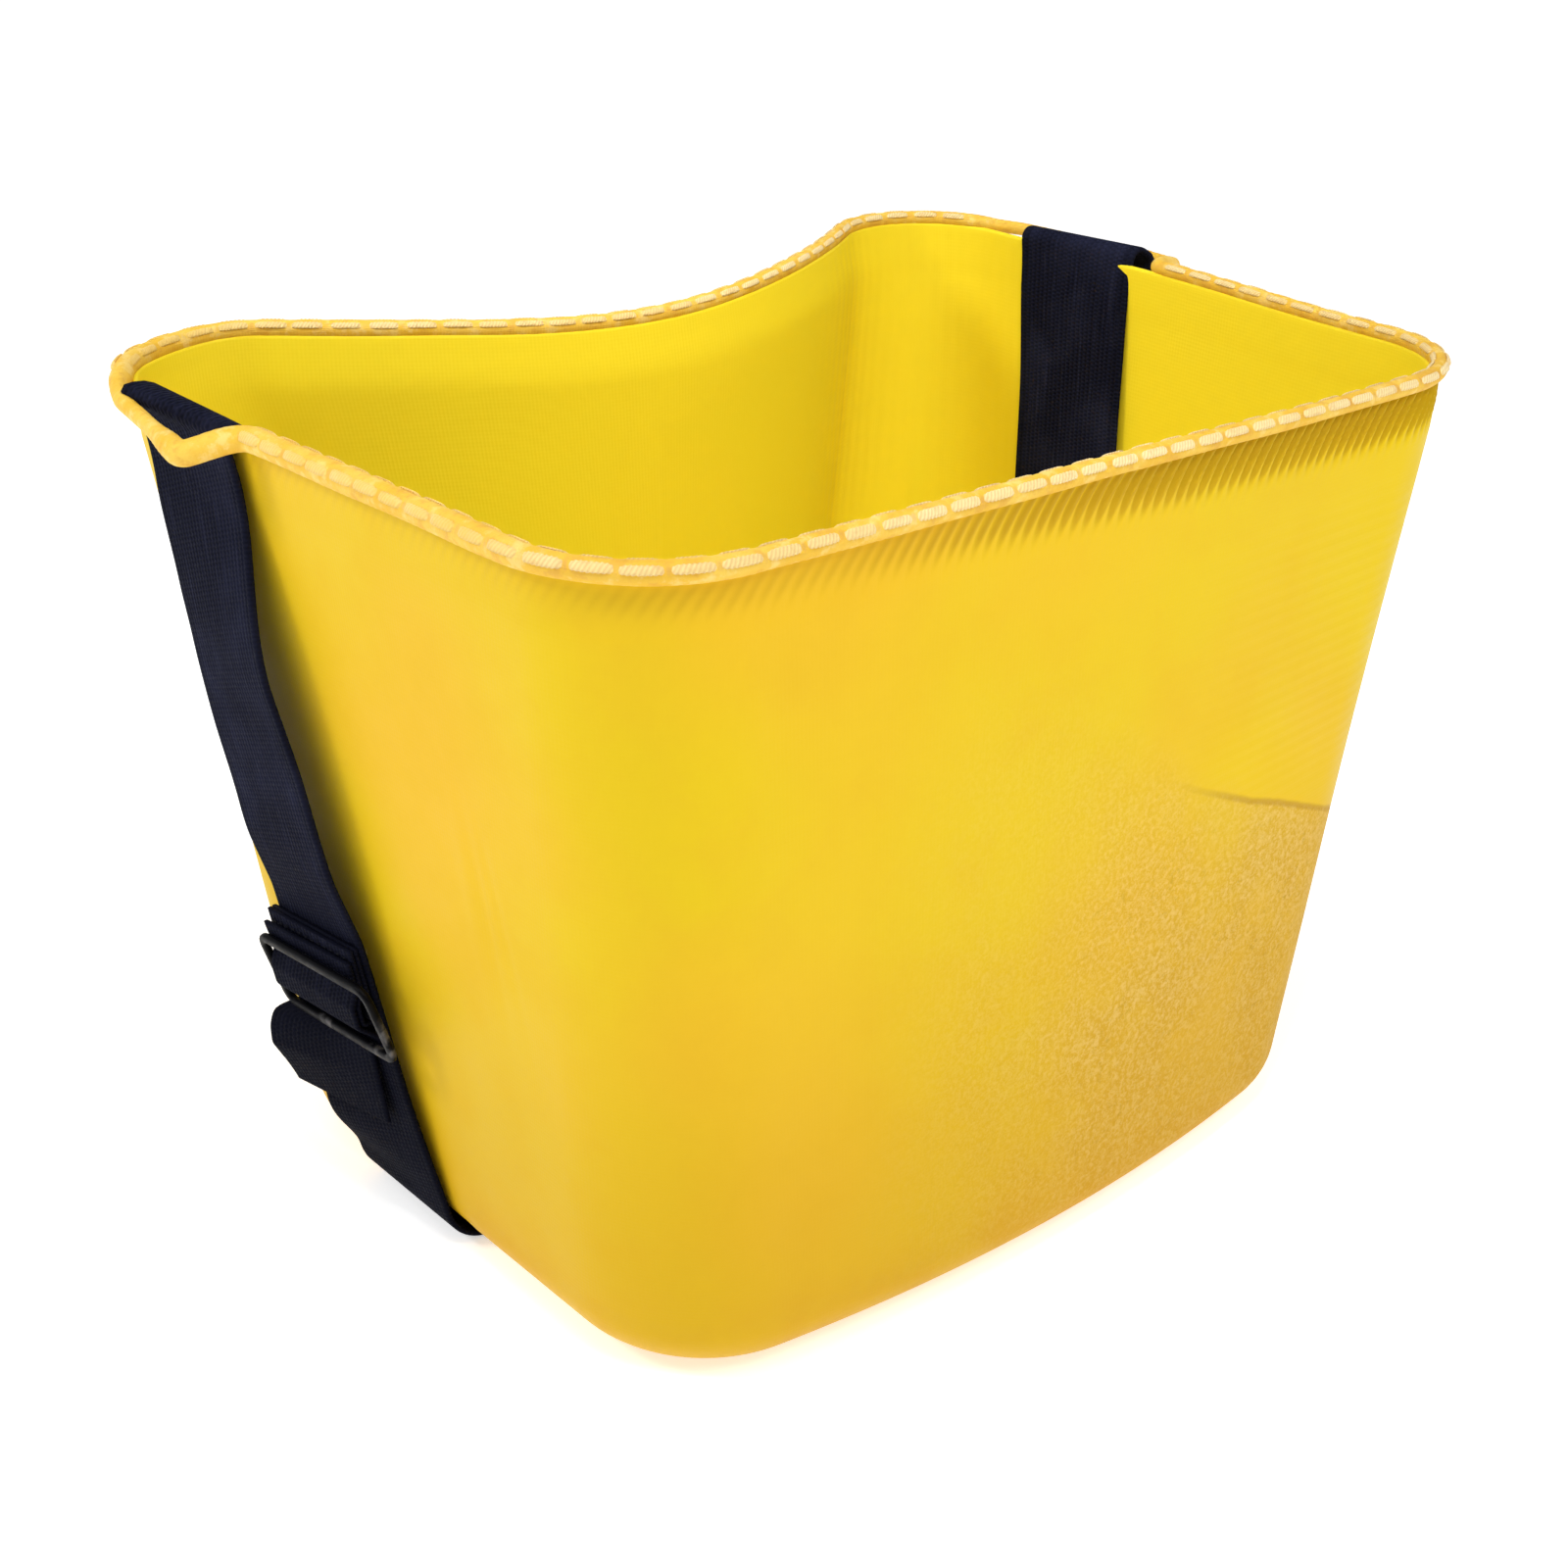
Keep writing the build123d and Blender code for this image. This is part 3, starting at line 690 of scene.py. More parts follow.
outer_r = (k <= k_top_r) & (rx > 100)
inner_r = (k > k_top_r) & (rx > 100) & (k < k_top_l)
inner_l = (k <= k_top_l) & (rx < -100) & (k > k_top_r)
outer_l = (k > k_top_l) & (rx < -100)
# how the real loop lies: pulled towards the back at the left slot, turned a little on its way down
t_l = np.where(rx < -100, route_s - route_s[k_top_l], 999.0)           # runs on from the fold over the left lip
fold = np.where(rx < 0, smooth(-14, 4, np.where(t_l > 900, 0.0, t_l)), 0.0)
shift_l = (3.0 + (12.5 * fold - 1.0) * smooth(90, 255, rz)) * smooth(10, 60, rz) * (rx < 0)
tw = np.zeros(nR)
zk = [0, 95, 120, 140, 158, 170, 188, 204, 225, 241, 252, 262, 300]
tw = np.where(outer_l, np.interp(rz, zk, [0, 0, 0.3, 0.9, 0.7, 1.2, 2.3, 1.7, -0.1, -0.2, 0.0, 0.0, 0]), tw)
# the back selvedge hangs slack between the slide and the base
slack = np.where(outer_l, np.interp(rz, [0, 16, 21, 26, 31, 36, 41, 47, 54, 400], [0, 0, 2.3, 4.6, 5.4, 4.7, 2.7, 0.8, 0, 0]), 0.0)
slack = np.convolve(np.concatenate([slack[-12:], slack, slack[:12]]), np.hanning(9) / np.hanning(9).sum(), "same")[12:-12]
tw = np.where(inner_l, np.interp(rz, [0, 225, 262, 300], [0, 0, 0.6, 0.6]), tw)
tw = np.where(outer_r, np.interp(rz, [0, 150, 215, 252, 262, 300], [0, 0, 1.2, 2.6, 4.2, 4.2]), tw)
tw = np.where(inner_r, np.interp(rz, [0, 205, 250, 262, 300], [0, 0, 2.0, 4.2, 4.2]), tw)
tw = np.convolve(np.concatenate([tw[-12:], tw, tw[:12]]), np.hanning(17) / np.hanning(17).sum(), "same")[12:-12]
sg = np.sign(rx) * smooth(60, 120, np.abs(rx))


def edge_line(off):
    y = BASE_Y + SLANT * rz + shift_l + off * 25.0
    back = max(off, 0.0)
    x = rx + sg * (TT * (y - ROUTE_Y) - off * tw + back * slack + back * 4.6 * bump(t_l, 3.2, 2.6))
    return np.column_stack([x, y, rz + back * 1.5 * bump(t_l, 2.4, 3.2)])


FE, BE = edge_line(-1.0), edge_line(1.0)
C3 = (FE + BE) / 2
W3 = BE - FE
W3 /= np.linalg.norm(W3, axis=1)[:, None]
T3 = np.roll(C3, -1, 0) - np.roll(C3, 1, 0)
T3 /= np.linalg.norm(T3, axis=1)[:, None]
N3 = np.cross(T3, W3)
N3 /= np.linalg.norm(N3, axis=1)[:, None]
free = smooth(105, 150, rz) * (1 - smooth(215, 245, rz))
C3 = C3 + N3 * (0.35 * np.sin(route_s / 23.0) * free * (outer_r | inner_r | inner_l))[:, None]
P, U, Vv = band_mesh("", C3, W3, N3, route_s, 50.0, 1.96, True)
na_sec = P.shape[1]
# where the left outer run is cut into a run of its own
run = np.where(outer_l & (rz > 95.0) & (rz < 243.0))[0]
a, b = run[0], run[-1]
main_idx = np.concatenate([np.arange(b, nR), np.arange(0, a + 1)])
Vmain = np.concatenate([route_s[b:], ROUTE_LEN + route_s[:a + 1]])


def normals_of(P, closed_cols=True):
    du = np.roll(P, -1, 1) - np.roll(P, 1, 1)
    dv = np.roll(P, -1, 0) - np.roll(P, 1, 0)
    n = np.cross(du, dv)
    n /= np.maximum(np.linalg.norm(n, axis=2)[..., None], 1e-9)
    return n


PN = normals_of(P)
strap = grid_mesh("strap_webbing", P[main_idx], U, Vmain, closed=True, caps=True)
strap_run = grid_mesh("strap_run", P[a:b + 1], U, route_s[a:b + 1], closed=True, caps=True)


def face_out(ob, centres):
    """Turn the faces so that they point away from the middle line."""
    me = ob.data
    c = np.array([p.center for p in list(me.polygons)[:400]])
    n = np.array([p.normal for p in list(me.polygons)[:400]])
    d = c[:, None, :] - centres[None] * MM
    near = np.argmin((d ** 2).sum(2), 1)
    if ((c - centres[near] * MM) * n).sum() < 0:
        me.flip_normals()


face_out(strap, C3)
face_out(strap_run, C3)
nsgn = 1.0 if np.dot(np.array(strap.data.polygons[10].normal), PN[main_idx][0, 10]) > 0 else -1.0
strap.data.normals_split_custom_set_from_vertices((nsgn * PN[main_idx]).reshape(-1, 3).tolist())
strap_run.data.normals_split_custom_set_from_vertices((nsgn * PN[a:b + 1]).reshape(-1, 3).tolist())

# =================================================================== slide and what is threaded through it
RUN_A, RUN_B, SLIDE_Z = (154.8, 52.0), (179.3, 230.0), 82.5


def on_run(x, z):
    y = BASE_Y + SLANT * z
    return np.array([-(x + TT * (y - ROUTE_Y)), y, z])


ra, rb_ = on_run(*RUN_A), on_run(*RUN_B)
SD = (rb_ - ra) / np.linalg.norm(rb_ - ra)
SN = np.cross(SD, np.array([-ST, CT, 0.0]))
SN /= np.linalg.norm(SN)
SA = np.cross(SN, SD)
SO = ra + (rb_ - ra) * ((SLIDE_Z - RUN_A[1]) / (RUN_B[1] - RUN_A[1]))


def local(n, v, y):
    return SO + np.multiply.outer(n, SN) + np.multiply.outer(v, SD) + np.multiply.outer(y, SA)


def sweep_local(pts_nvy, right, up, w, h, m=16, power=2.6, closed=False):
    """Flattened rounded bar along points given in slide coordinates."""
    th = np.linspace(0, 2 * PI, m, endpoint=False)
    cx = np.sign(np.cos(th)) * np.abs(np.cos(th)) ** (2 / power)
    cy = np.sign(np.sin(th)) * np.abs(np.sin(th)) ** (2 / power)
    return pts_nvy[:, None, :] + right[:, None, :] * (w / 2 * cx)[None, :, None] + up[:, None, :] * (h / 2 * cy)[None, :, None]


def to_world(P):
    return SO + P[..., 0:1] * SN + P[..., 1:2] * SD + P[..., 2:3] * SA


def frame_bar():
    # rounded rectangle in (across y, up v); outwards n rises towards the top
    hw, hv, r = 31.1, 12.5, 4.2
    route = [((-hw, -hv), r), ((hw, -hv), r), ((hw, hv), r), ((-hw, hv), r)]
    q, s, L = resample(rounded(route, 0.6), 0.7, True)
    n = 4.55 + (q[:, 1] + hv) / (2 * hv) * 3.35
    sag = 0.35 * np.cos(PI * q[:, 0] / 70.0) * np.sign(-q[:, 1]) * 0
    P = np.column_stack([n + sag, q[:, 1], q[:, 0]])
    T = np.roll(P, -1, 0) - np.roll(P, 1, 0)
    T /= np.linalg.norm(T, axis=1)[:, None]
    up = np.repeat([[0.991, -0.132, 0.0]], len(P), 0)
    right = np.cross(T, up)
    right /= np.linalg.norm(right, axis=1)[:, None]
    up = np.cross(right, T)
    return sweep_local(P, right, up, 3.2, 2.4, 16, 3.0), s


FB, fs = frame_bar()
FB = np.concatenate([FB, FB[:1]], 0)
fb_w = to_world(FB)
yb = np.linspace(-30.6, 30.6, 64)
endw = smooth(24, 31, np.abs(yb))
MBp = np.column_stack([4.1 + 2.0 * endw * 0.9, 0.0 * yb, yb])
MBr = np.repeat([[0.0, 1.0, 0.0]], len(yb), 0)
MBu = np.repeat([[1.0, 0.0, 0.0]], len(yb), 0)
MB = to_world(sweep_local(MBp, MBr, MBu, 3.1, 2.1, 14, 2.4))
# two small pads stiffen the middle bar's roots
parts = [(MB, np.linspace(0, 9, MB.shape[1] + 1), np.linspace(0, 61, len(yb)))]
for sgn in (-1, 1):
    q = np.linspace(-5.0, 5.0, 14)
    pp = np.column_stack([5.9 + 0.134 * q, q, np.full(14, sgn * 30.4)])
    pr = np.repeat([[0.0, 0.0, 1.0]], 14, 0)
    pu = np.repeat([[1.0, 0.0, 0.0]], 14, 0)
    env = np.sqrt(np.clip(1 - (q / 5.4) ** 4, 0.1, 1))
    PP = sweep_local(pp, pr * env[:, None], pu * env[:, None], 3.0, 2.2, 12, 2.6)
    parts.append((to_world(PP), np.linspace(0, 8, 13), np.linspace(0, 10, 14)))
slide_bars = join_grids("slide_bars", parts)
slide_frame = grid_mesh("slide_frame", fb_w, np.linspace(0, 11, 17), np.append(fs, fs[-1] + 0.7), closed=True, merge=0.002, flip=False)


TAIL_S = np.linspace(0, 40, 81)                      # the tail's slack back edge bulges below the slide
TAIL_N = np.convolve(np.interp(np.linspace(-5, 45, 101), [0, 4, 8, 16, 22, 26, 29.5], [3.6, 4.8, 6.2, 9.4, 8.6, 6.6, 0.0]), np.hanning(11) / np.hanning(11).sum(), "same")[10:-10]


def ribbon(name, pts, radii, thick, width, lift=None, shift=0.0, skew=None):
    route = [(pts[0], None)] + [(p, r) for p, r in zip(pts[1:-1], radii)] + [(pts[-1], None)]
    q, s, L = resample(rounded(route, 0.35), 0.6, False)
    Cn = np.column_stack([q[:, 0], q[:, 1], 0 * s])
    T = np.gradient(q, axis=0)
    T /= np.linalg.norm(T, axis=1)[:, None]
    sec = band_section(width, thick)
    Nn = np.column_stack([T[:, 1], -T[:, 0], 0 * s])
    P = Cn[:, None, :] + sec[None, :, 1, None] * Nn[:, None, :] + sec[None, :, 0, None] * np.array([0, 0, 1.0])
    if lift is not None:
        P[..., 0] += lift(s, P[..., 2], L)
    P[..., 2] += shift
    if skew is not None:
        P[..., 2] += skew(s)[:, None]
        Cn[:, 2] += skew(s)
    na = 22
    U = np.concatenate([np.linspace(0, width, na), np.full(5, width), np.linspace(width, 0, na), np.full(5, 0.0), [0.0]])
    ob = grid_mesh(name, to_world(P), U, s, closed=True, caps=True)
    face_out(ob, to_world(Cn + np.array([0.0, 0.0, shift])))
    return ob


end_loop = ribbon("end_loop_webbing", [(2.05, 21.0), (2.05, -3.4), (6.15, -3.4), (6.15, 3.0), (3.65, 8.0), (3.65, 21.0)],
                  [0.95, 0.95, 2.0, 2.0], 1.46, 49.6, shift=4.1)
tail = ribbon("tail_webbing", [(3.9, -42.0), (2.05, -9.5), (8.0, -3.5), (8.0, 3.2), (5.35, 8.2), (5.35, 17.5)],
              [3.0, 2.5, 2.0, 3.0], 1.46, 49.8, shift=4.0, skew=lambda s: 8.0 * smooth(31.0, 26.0, s),
              lift=lambda s, y, L: (np.interp(s, TAIL_S, TAIL_N)[:, None] * np.clip((y + 25.0) / 50.0, 0, 1) ** 1.05
                                    + 0.7 * smooth(L - 9, L, s)[:, None] * smooth(-20, 25, y)))
parts = []
for vrow in (14.5, 18.0):
    for i in range(12):
        y0 = 4.1 + (i - 5.5) * 3.8
        for n0, th in ((4.44, 0.5), (1.52, 0.3)):
            w = np.linspace(-1, 1, 12)
            pp = np.column_stack([n0 + np.sign(n0 - 3) * 0.5 * th * (0.4 * (1 - w ** 2) - np.abs(w) ** 5), np.full(12, vrow) + 0.12 * np.sin(i), y0 + 1.25 * w])
            env = np.sqrt(np.clip(1 - np.abs(w) ** 5, 0.04, 1))[:, None]
            PP = sweep_local(pp, np.repeat([[0.0, 1.0, 0.0]], 12, 0) * env, np.repeat([[1.0, 0.0, 0.0]], 12, 0) * env, 0.75, th, 8, 2.0)
            parts.append((to_world(PP), np.linspace(0, 2, 9), np.linspace(0, 2.5, 12)))
loop_thread = join_grids("loop_thread", parts)


# =================================================================== materials
def cloth_yellow():
    m = Nodes("yellow_coated_cloth")
    u, vv = m.uv()
    x, y, z = m.xyz()
    big = m.noise(7.0, 2.0, 0.5)
    mid = m.noise(34.0, 4.0, 0.6)
    fine = m.noise(900.0, 2.0, 0.6)
    grain = m.noise(560.0, 4.0, 0.70)
    base = m.blend(m.remap(big, 0.36, 0.66), srgb(225, 192, 24), srgb(230, 183, 36))
    base = m.blend(m.math("MULTIPLY", m.remap(mid, 0.40, 0.72), 0.35), base, srgb(223, 178, 34))
    # painted light: the inside and the outside's right-hand upper part are painted a lighter, purer yellow, standing in
    # for the light that falls there
    base = m.blend(m.math("MULTIPLY", m.attr("inside"), 0.95), base, srgb(248, 224, 44))
    outside = m.math("SUBTRACT", 1.0, m.attr("inside"))
    painted_light_patch = m.math("MULTIPLY", m.math("MULTIPLY", m.remap(x, 0.06, 0.15), m.remap(z, 0.10, 0.20)), outside)
    base = m.blend(m.math("MULTIPLY", painted_light_patch, 0.9), base, srgb(229, 196, 4))
    # painted shade in the gathers and just below the edging
    base = m.blend(m.math("MULTIPLY", m.remap(m.attr("pucker_shade"), 0.08, 0.70), 0.56), base, srgb(168, 122, 20))
    # rubbed, dusty patch
    speck = m.remap(grain, 0.42, 0.66)
    speck2 = m.remap(fine, 0.50, 0.62)
    dmask = m.math("MULTIPLY", m.attr("dust"), m.remap(m.noise(22.0, 4.0, 0.65), 0.30, 0.62, 0.45, 1.0))
    # its upper edge is a slanting, slightly wavy line
    wob = m.math("ADD", m.math("MULTIPLY", m.math("SINE", m.math("MULTIPLY", x, 70.0)), 0.0006),
                 m.math("MULTIPLY", m.math("SUBTRACT", m.noise(45.0, 3.0), 0.5), 0.0026))
    over = m.math("SUBTRACT", m.math("ADD", m.math("SUBTRACT", z, 0.1654), m.math("MULTIPLY", x, 0.435)), wob)
    above = m.math("MULTIPLY", m.remap(over, -0.0006, 0.0012), m.attr("edge"))
    dmask = m.math("MULTIPLY", dmask, m.math("SUBTRACT", 1.0, above))
    fresh = m.math("MULTIPLY", above, m.remap(over, 0.045, 0.004))
    base = m.blend(m.math("MULTIPLY", fresh, 0.55), base, srgb(234, 198, 4))
    dusty = m.blend(m.math("MULTIPLY", m.math("MAXIMUM", speck, m.math("MULTIPLY", speck2, 0.6)), 0.85), srgb(204, 158, 48), srgb(235, 206, 132))
    pits = m.math("MULTIPLY", m.remap(m.noise(430.0, 3.0, 0.7), 0.55, 0.68), m.remap(m.noise(60.0, 2.0), 0.40, 0.62))
    dusty = m.blend(m.math("MULTIPLY", pits, 0.55), dusty, srgb(150, 116, 30))
    base = m.blend(m.math("MULTIPLY", dmask, 0.90), base, dusty)
    edge = m.math("MULTIPLY", m.attr("edge"), m.remap(m.math("ABSOLUTE", over), 0.0019, 0.0004))
    base = m.blend(m.math("MULTIPLY", edge, 0.55), base, srgb(176, 126, 18))
    # painted shade: the outside is painted browner and darker towards the bottom
    base = m.blend(m.math("MULTIPLY", m.math("MULTIPLY", m.remap(z, 0.165, 0.02), m.math("SUBTRACT", 1.0, m.attr("inside"))), 0.55), base, srgb(198, 152, 20))
    # soil in the low rim of the base
    base = m.blend(m.math("MULTIPLY", m.attr("low"), m.remap(mid, 0.35, 0.7, 0.10, 0.38)), base, srgb(206, 150, 40))
    m.set(Base_Color=base)
    rough = m.math("ADD", m.remap(mid, 0.3, 0.75, 0.40, 0.52), m.math("MULTIPLY", dmask, 0.22))
    m.set(Roughness=rough)
    m.bsdf.inputs["Specular IOR Level"].default_value = 0.08
    weave = m.math("ADD", m.wave(u, 0.00125), m.wave(vv, 0.00125))
    lines = m.math("MULTIPLY", m.wave(vv, 0.0041), m.attr("lines"))
    ribs = m.math("MULTIPLY", m.wave(u, 0.0062), m.attr("ribs"))
    dents = m.noise(60.0, 3.0, 0.5)
    m.normal((weave, 0.16, 0.00010), (lines, 0.5, 0.00022), (ribs, 0.4, 0.00022), (dents, 0.22, 0.0011),
             (m.math("MULTIPLY", grain, dmask), 0.45, 0.0007))
    return m.mat


def cloth_bead():
    m = Nodes("edging_cloth")
    u, vv = m.uv()
    mid = m.noise(55.0, 3.0, 0.6)
    fine = m.noise(520.0, 3.0, 0.6)
    base = m.blend(m.remap(mid, 0.35, 0.7), srgb(232, 184, 56), srgb(238, 198, 82))
    base = m.blend(m.math("MULTIPLY", m.remap(fine, 0.5, 0.7), 0.25), base, srgb(232, 176, 66))
    blot = m.noise(170.0, 4.0, 0.65)
    base = m.blend(m.math("MULTIPLY", m.remap(blot, 0.52, 0.66), 0.55), base, srgb(246, 218, 140))
    base = m.blend(m.math("MULTIPLY", m.remap(blot, 0.47, 0.36), 0.50), base, srgb(218, 158, 62))
    # painted shade in the needle holes
    g = m.math("MULTIPLY", m.remap(m.attr("groove_shade"), 0.25, 0.95), m.remap(m.noise(130.0, 2.0), 0.3, 0.6, 0.45, 1.0))
    base = m.blend(m.math("MULTIPLY", g, 0.38), base, srgb(196, 136, 88))
    m.set(Base_Color=base)
    m.set(Roughness=m.remap(fine, 0.3, 0.7, 0.50, 0.68))
    m.bsdf.inputs["Specular IOR Level"].default_value = 0.20
    weave = m.math("ADD", m.wave(u, 0.0010), m.wave(vv, 0.0010))
    m.normal((weave, 0.25, 0.00012), (mid, 0.35, 0.0009), (fine, 0.25, 0.0002))
    return m.mat


def thread_mat(name, c1, c2, c3, worn=None):
    m = Nodes(name)
    u, vv = m.uv()
    ply = m.wave(m.math("ADD", vv, m.math("MULTIPLY", u, 0.55)), 0.0011)
    n = m.noise(300.0, 3.0)
    tone = m.noise(21.0, 2.0)
    base = m.blend(m.remap(tone, 0.35, 0.65), c1, c2)
    # painted shade between the twisted plies
    base = m.blend(m.math("MULTIPLY", m.math("SUBTRACT", 1.0, ply), 0.45), base, c3)
    base = m.blend(m.math("MULTIPLY", m.remap(n, 0.5, 0.72), 0.35), base, c3)
    if worn is not None:
        base = m.blend(m.math("MULTIPLY", m.attr("worn"), m.remap(m.noise(90.0, 3.0), 0.35, 0.65, 0.55, 0.9)), base, worn)
    m.set(Base_Color=base)
    m.set(Roughness=m.remap(n, 0.3, 0.7, 0.55, 0.75))
    m.bsdf.inputs["Sheen Weight"].default_value = 0.0 if worn is None else 0.2
    m.bsdf.inputs["Specular IOR Level"].default_value = 0.05 if worn is None else 0.3
    m.normal((ply, 0.6, 0.00022), (n, 0.25, 0.0001))
    return m.mat


def webbing_mat(name, dark, light, lift):
    m = Nodes(name)
    u, vv = m.uv()
    # twill ribs along the webbing, picks across it
    rib = m.wave(u, 0.0021)
    pick = m.wave(vv, 0.0014, m.math("MULTIPLY", m.math("ROUND", m.math("MULTIPLY", u, 476.0)), PI))
    sel = m.math("ADD", m.remap(u, 0.0036, 0.0026), m.remap(u, 0.0464, 0.0474))
    fuzz = m.noise(850.0, 3.0, 0.65)
    fade = m.noise(19.0, 3.0, 0.6)
    long_ = m.noise(1.0, 3.0, 0.6, vec=m.stretch(600.0, 30.0, 1.0, vec=m.new("ShaderNodeUVMap", uv_map="UVMap").outputs[0]))
    # weave pattern, with the tops of ribs and picks painted lighter: a painted highlight
    tone = m.math("MULTIPLY", m.math("ADD", m.math("MULTIPLY", rib, 0.5), m.math("MULTIPLY", pick, 0.5)), 0.75)
    base = m.blend(tone, dark, light)
    base = m.blend(m.math("MULTIPLY", m.remap(fade, 0.42, 0.72), 0.45), base, lift)
    base = m.blend(m.math("MULTIPLY", m.remap(long_, 0.52, 0.70), 0.30), base, lift)
    base = m.blend(m.math("MULTIPLY", sel, 0.35), base, dark)
    base = m.blend(m.math("MULTIPLY", m.remap(fuzz, 0.60, 0.75), 0.25), base, lift)
    base = m.blend(m.math("MULTIPLY", m.remap(m.xyz()[2], 0.125, 0.06), 0.80), base, dark)         # painted shade: darker near the ground
    m.set(Base_Color=base)
    m.set(Roughness=m.remap(fuzz, 0.3, 0.7, 0.62, 0.80))
    m.bsdf.inputs["Specular IOR Level"].default_value = 0.02
    m.normal((m.math("ADD", rib, pick), 0.55, 0.00032), (fuzz, 0.25, 0.00016), (fade, 0.2, 0.0010))
    return m.mat


def metal_mat(name, col, worn, rough):
    m = Nodes(name)
    n = m.noise(240.0, 4.0, 0.6)
    big = m.noise(48.0, 3.0, 0.6)
    geo = m.new("ShaderNodeNewGeometry")
    edge = m.math("MULTIPLY", m.remap(geo.outputs["Pointiness"], 0.56, 0.66), 0.35)
    w = m.math("MULTIPLY", m.math("MAXIMUM", edge, m.math("MULTIPLY", m.remap(big, 0.58, 0.68), 0.7)), m.remap(n, 0.35, 0.62))
    m.set(Base_Color=m.blend(w, col, worn))
    m.set(Roughness=m.remap(n, 0.3, 0.7, rough - 0.07, rough + 0.10))
    m.set(Metallic=m.math("MULTIPLY", w, 0.9))
    m.bsdf.inputs["Specular IOR Level"].default_value = 0.06
    m.normal((n, 0.18, 0.0002), (big, 0.15, 0.0006))
    return m.mat


def steel_mat(name, col):
    m = Nodes(name)
    n = m.noise(300.0, 4.0, 0.6, vec=m.stretch(1.0, 1.0, 0.3))
    m.set(Base_Color=m.blend(m.remap(n, 0.35, 0.7), col, srgb(118, 104, 92)))
    m.set(Roughness=m.remap(n, 0.3, 0.7, 0.30, 0.48))
    m.bsdf.inputs["Metallic"].default_value = 1.0
    m.normal((n, 0.2, 0.0002))
    return m.mat


yellow = cloth_yellow()
tub.data.materials.append(yellow)
bead.data.materials.append(cloth_bead())
thread.data.materials.append(thread_mat("cream_thread", srgb(246, 226, 166), srgb(242, 214, 142), srgb(212, 160, 92), srgb(236, 194, 82)))
web = webbing_mat("navy_webbing", srgb(10, 11, 20), srgb(28, 30, 49), srgb(44, 47, 70))
for ob in (strap, strap_run, end_loop, tail):
    ob.data.materials.append(web)
loop_thread.data.materials.append(thread_mat("dark_thread", srgb(16, 17, 27), srgb(12, 13, 22), srgb(5, 5, 10)))
black = metal_mat("black_lacquered_steel", srgb(5, 5, 8), srgb(104, 102, 102), 0.42)
slide_frame.data.materials.append(black)
slide_bars.data.materials.append(black)
hoop.data.materials.append(steel_mat("hoop_steel", srgb(150, 148, 144)))
ferrule.data.materials.append(steel_mat("ferrule_steel", srgb(168, 166, 160)))

# =================================================================== bodies, nodes, slots
for ob, body, node, slot in (
        (tub, "basket", "tub_shell", "tub"), (bead, "basket", "rim_binding", "binding"), (hoop, "basket", "rim_wire", "wire"),
        (ferrule, "basket", "wire_ferrule", "ferrule"), (thread, "basket", "rim_stitches", "thread"),
        (strap, "basket", "shoulder_strap", "webbing"), (strap_run, "basket", "shoulder_strap", "webbing"),
        (slide_frame, "slide", "strap_slider", "slide"), (slide_bars, "slide", "strap_slider", "slide"),
        (end_loop, "slide", "strap_end_loop", "webbing"), (tail, "slide", "strap_tail", "webbing"),
        (loop_thread, "slide", "loop_stitches", "strap_thread")):
    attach(ob, body)
    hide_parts(node)

# axis along the slack run of webbing, and a mesh of its own for the run
pa, pb = C3[a], C3[b]
along = (pb - pa) / np.linalg.norm(pb - pa)
sq_axis = np.cross(along, np.array([-ST, CT, 0.0]))
sq_axis /= np.linalg.norm(sq_axis)
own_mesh(strap_run)

# =================================================================== floor, light, camera
me = bpy.data.meshes.new("floor")
me.from_pydata([(-120, -120, 0), (120, -120, 0), (120, 120, 0), (-120, 120, 0)], [], [(0, 1, 2, 3)])
floor = bpy.data.objects.new("floor", me)
bpy.context.scene.collection.objects.link(floor)
fm = Nodes("pale_floor")
fn = fm.noise(2.5, 3.0)
fm.set(Base_Color=fm.blend(fm.remap(fn, 0.3, 0.7), srgb(250, 250, 250), srgb(247, 247, 247)))
fm.bsdf.inputs["Roughness"].default_value = 0.9
fm.bsdf.inputs["Emission Color"].default_value = (1.0, 1.0, 1.0, 1.0)
# the lamps fade outwards, so the floor gives a little more light there and stays evenly pale
fx, fy, _ = fm.xyz()
far = fm.math("SQRT", fm.math("ADD", fm.math("MULTIPLY", fx, fx), fm.math("MULTIPLY", fy, fy)))
fm.put(fm.bsdf.inputs["Emission Strength"], fm.remap(far, 0.8, 2.4, 0.50, 0.68))
fm.bsdf.inputs["Specular IOR Level"].default_value = 0.1
me.materials.append(fm.mat)

scene = bpy.context.scene
world = bpy.data.worlds.new("studio")
scene.world = world
world.use_nodes = True
bg = next(n for n in world.node_tree.nodes if n.type == "BACKGROUND")
bg.inputs[0].default_value = (1.0, 1.0, 1.0, 1.0)
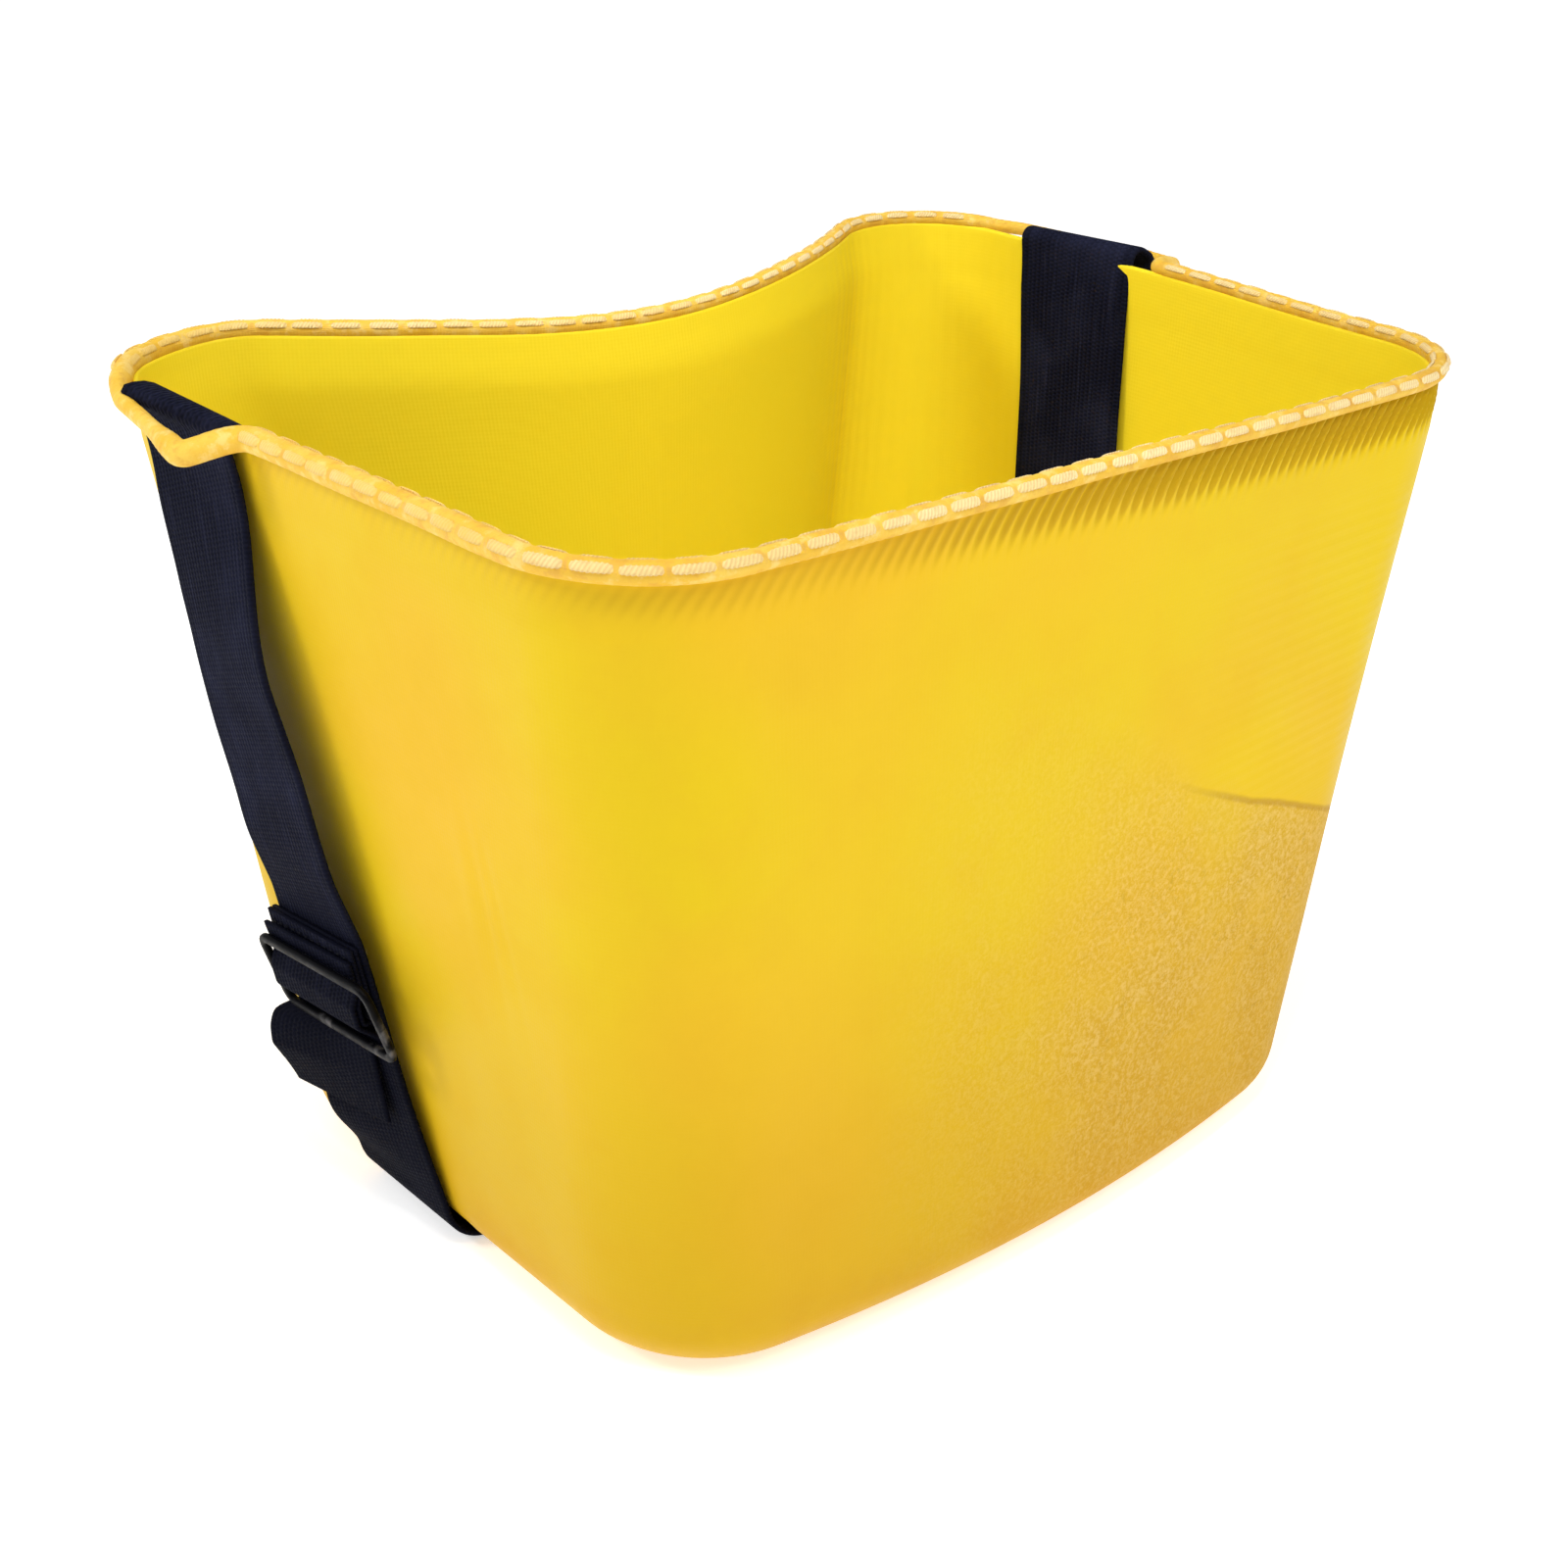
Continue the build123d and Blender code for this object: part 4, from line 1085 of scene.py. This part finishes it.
# paler low down, so that the floor's far edge doesn't show
wt = world.node_tree
sky = wt.nodes.new("ShaderNodeSeparateXYZ")
wt.links.new(wt.nodes.new("ShaderNodeTexCoord").outputs["Generated"], sky.inputs[0])
low = wt.nodes.new("ShaderNodeMapRange")
low.interpolation_type = "SMOOTHSTEP"
for k, v in zip((1, 2, 3, 4), (0.09, 0.20, 1.0, 0.37)):
    low.inputs[k].default_value = v
wt.links.new(sky.outputs[2], low.inputs[0])
wt.links.new(low.outputs[0], bg.inputs[1])


def area(name, pos, aim, size, energy, spread=180.0):
    d = bpy.data.lights.new(name, "AREA")
    d.shape = "DISK"
    d.size = size
    d.energy = energy
    d.spread = math.radians(spread)
    o = bpy.data.objects.new(name, d)
    o.location = pos
    o.rotation_euler = (Vector(aim) - Vector(pos)).to_track_quat("-Z", "Y").to_euler()
    o.visible_camera = False
    scene.collection.objects.link(o)


area("key_left", (-1.25, 0.70, 1.25), (-0.15, 0.0, 0.12), 0.45, 10.0)
area("fill_front", (0.15, -1.25, 1.75), (0.0, 0.0, 0.12), 0.9, 13.3)
area("top", (-0.35, -0.1, 1.5), (0.0, 0.0, 0.1), 0.9, 5.0)
area("mouth", (-0.26, -0.32, 0.95), (0.03, 0.05, 0.18), 0.15, 0.13, spread=34.0)

cam_data = bpy.data.cameras.new("camera")
cam_data.sensor_width = 36.0
cam_data.lens = 2274.636 * 36.0 / 1600.0
cam_data.clip_end = 300.0
cam = bpy.data.objects.new("camera", cam_data)
scene.collection.objects.link(cam)
az, el, roll = math.radians(-40.371), math.radians(26.047), math.radians(0.996)
right = Vector((math.cos(az), math.sin(az), 0))
back = Vector((math.sin(az) * math.cos(el), -math.cos(az) * math.cos(el), math.sin(el)))
up = back.cross(right)
cx = math.cos(roll) * right + math.sin(roll) * up
cy = -math.sin(roll) * right + math.cos(roll) * up
pos = Vector((-26.903, -21.832, 129.194)) * MM + back * 0.694299
rot = Matrix((cx, cy, back)).transposed().to_4x4()
cam.matrix_world = Matrix.Translation(pos) @ rot
scene.camera = cam
scene.view_settings.view_transform = "Standard"
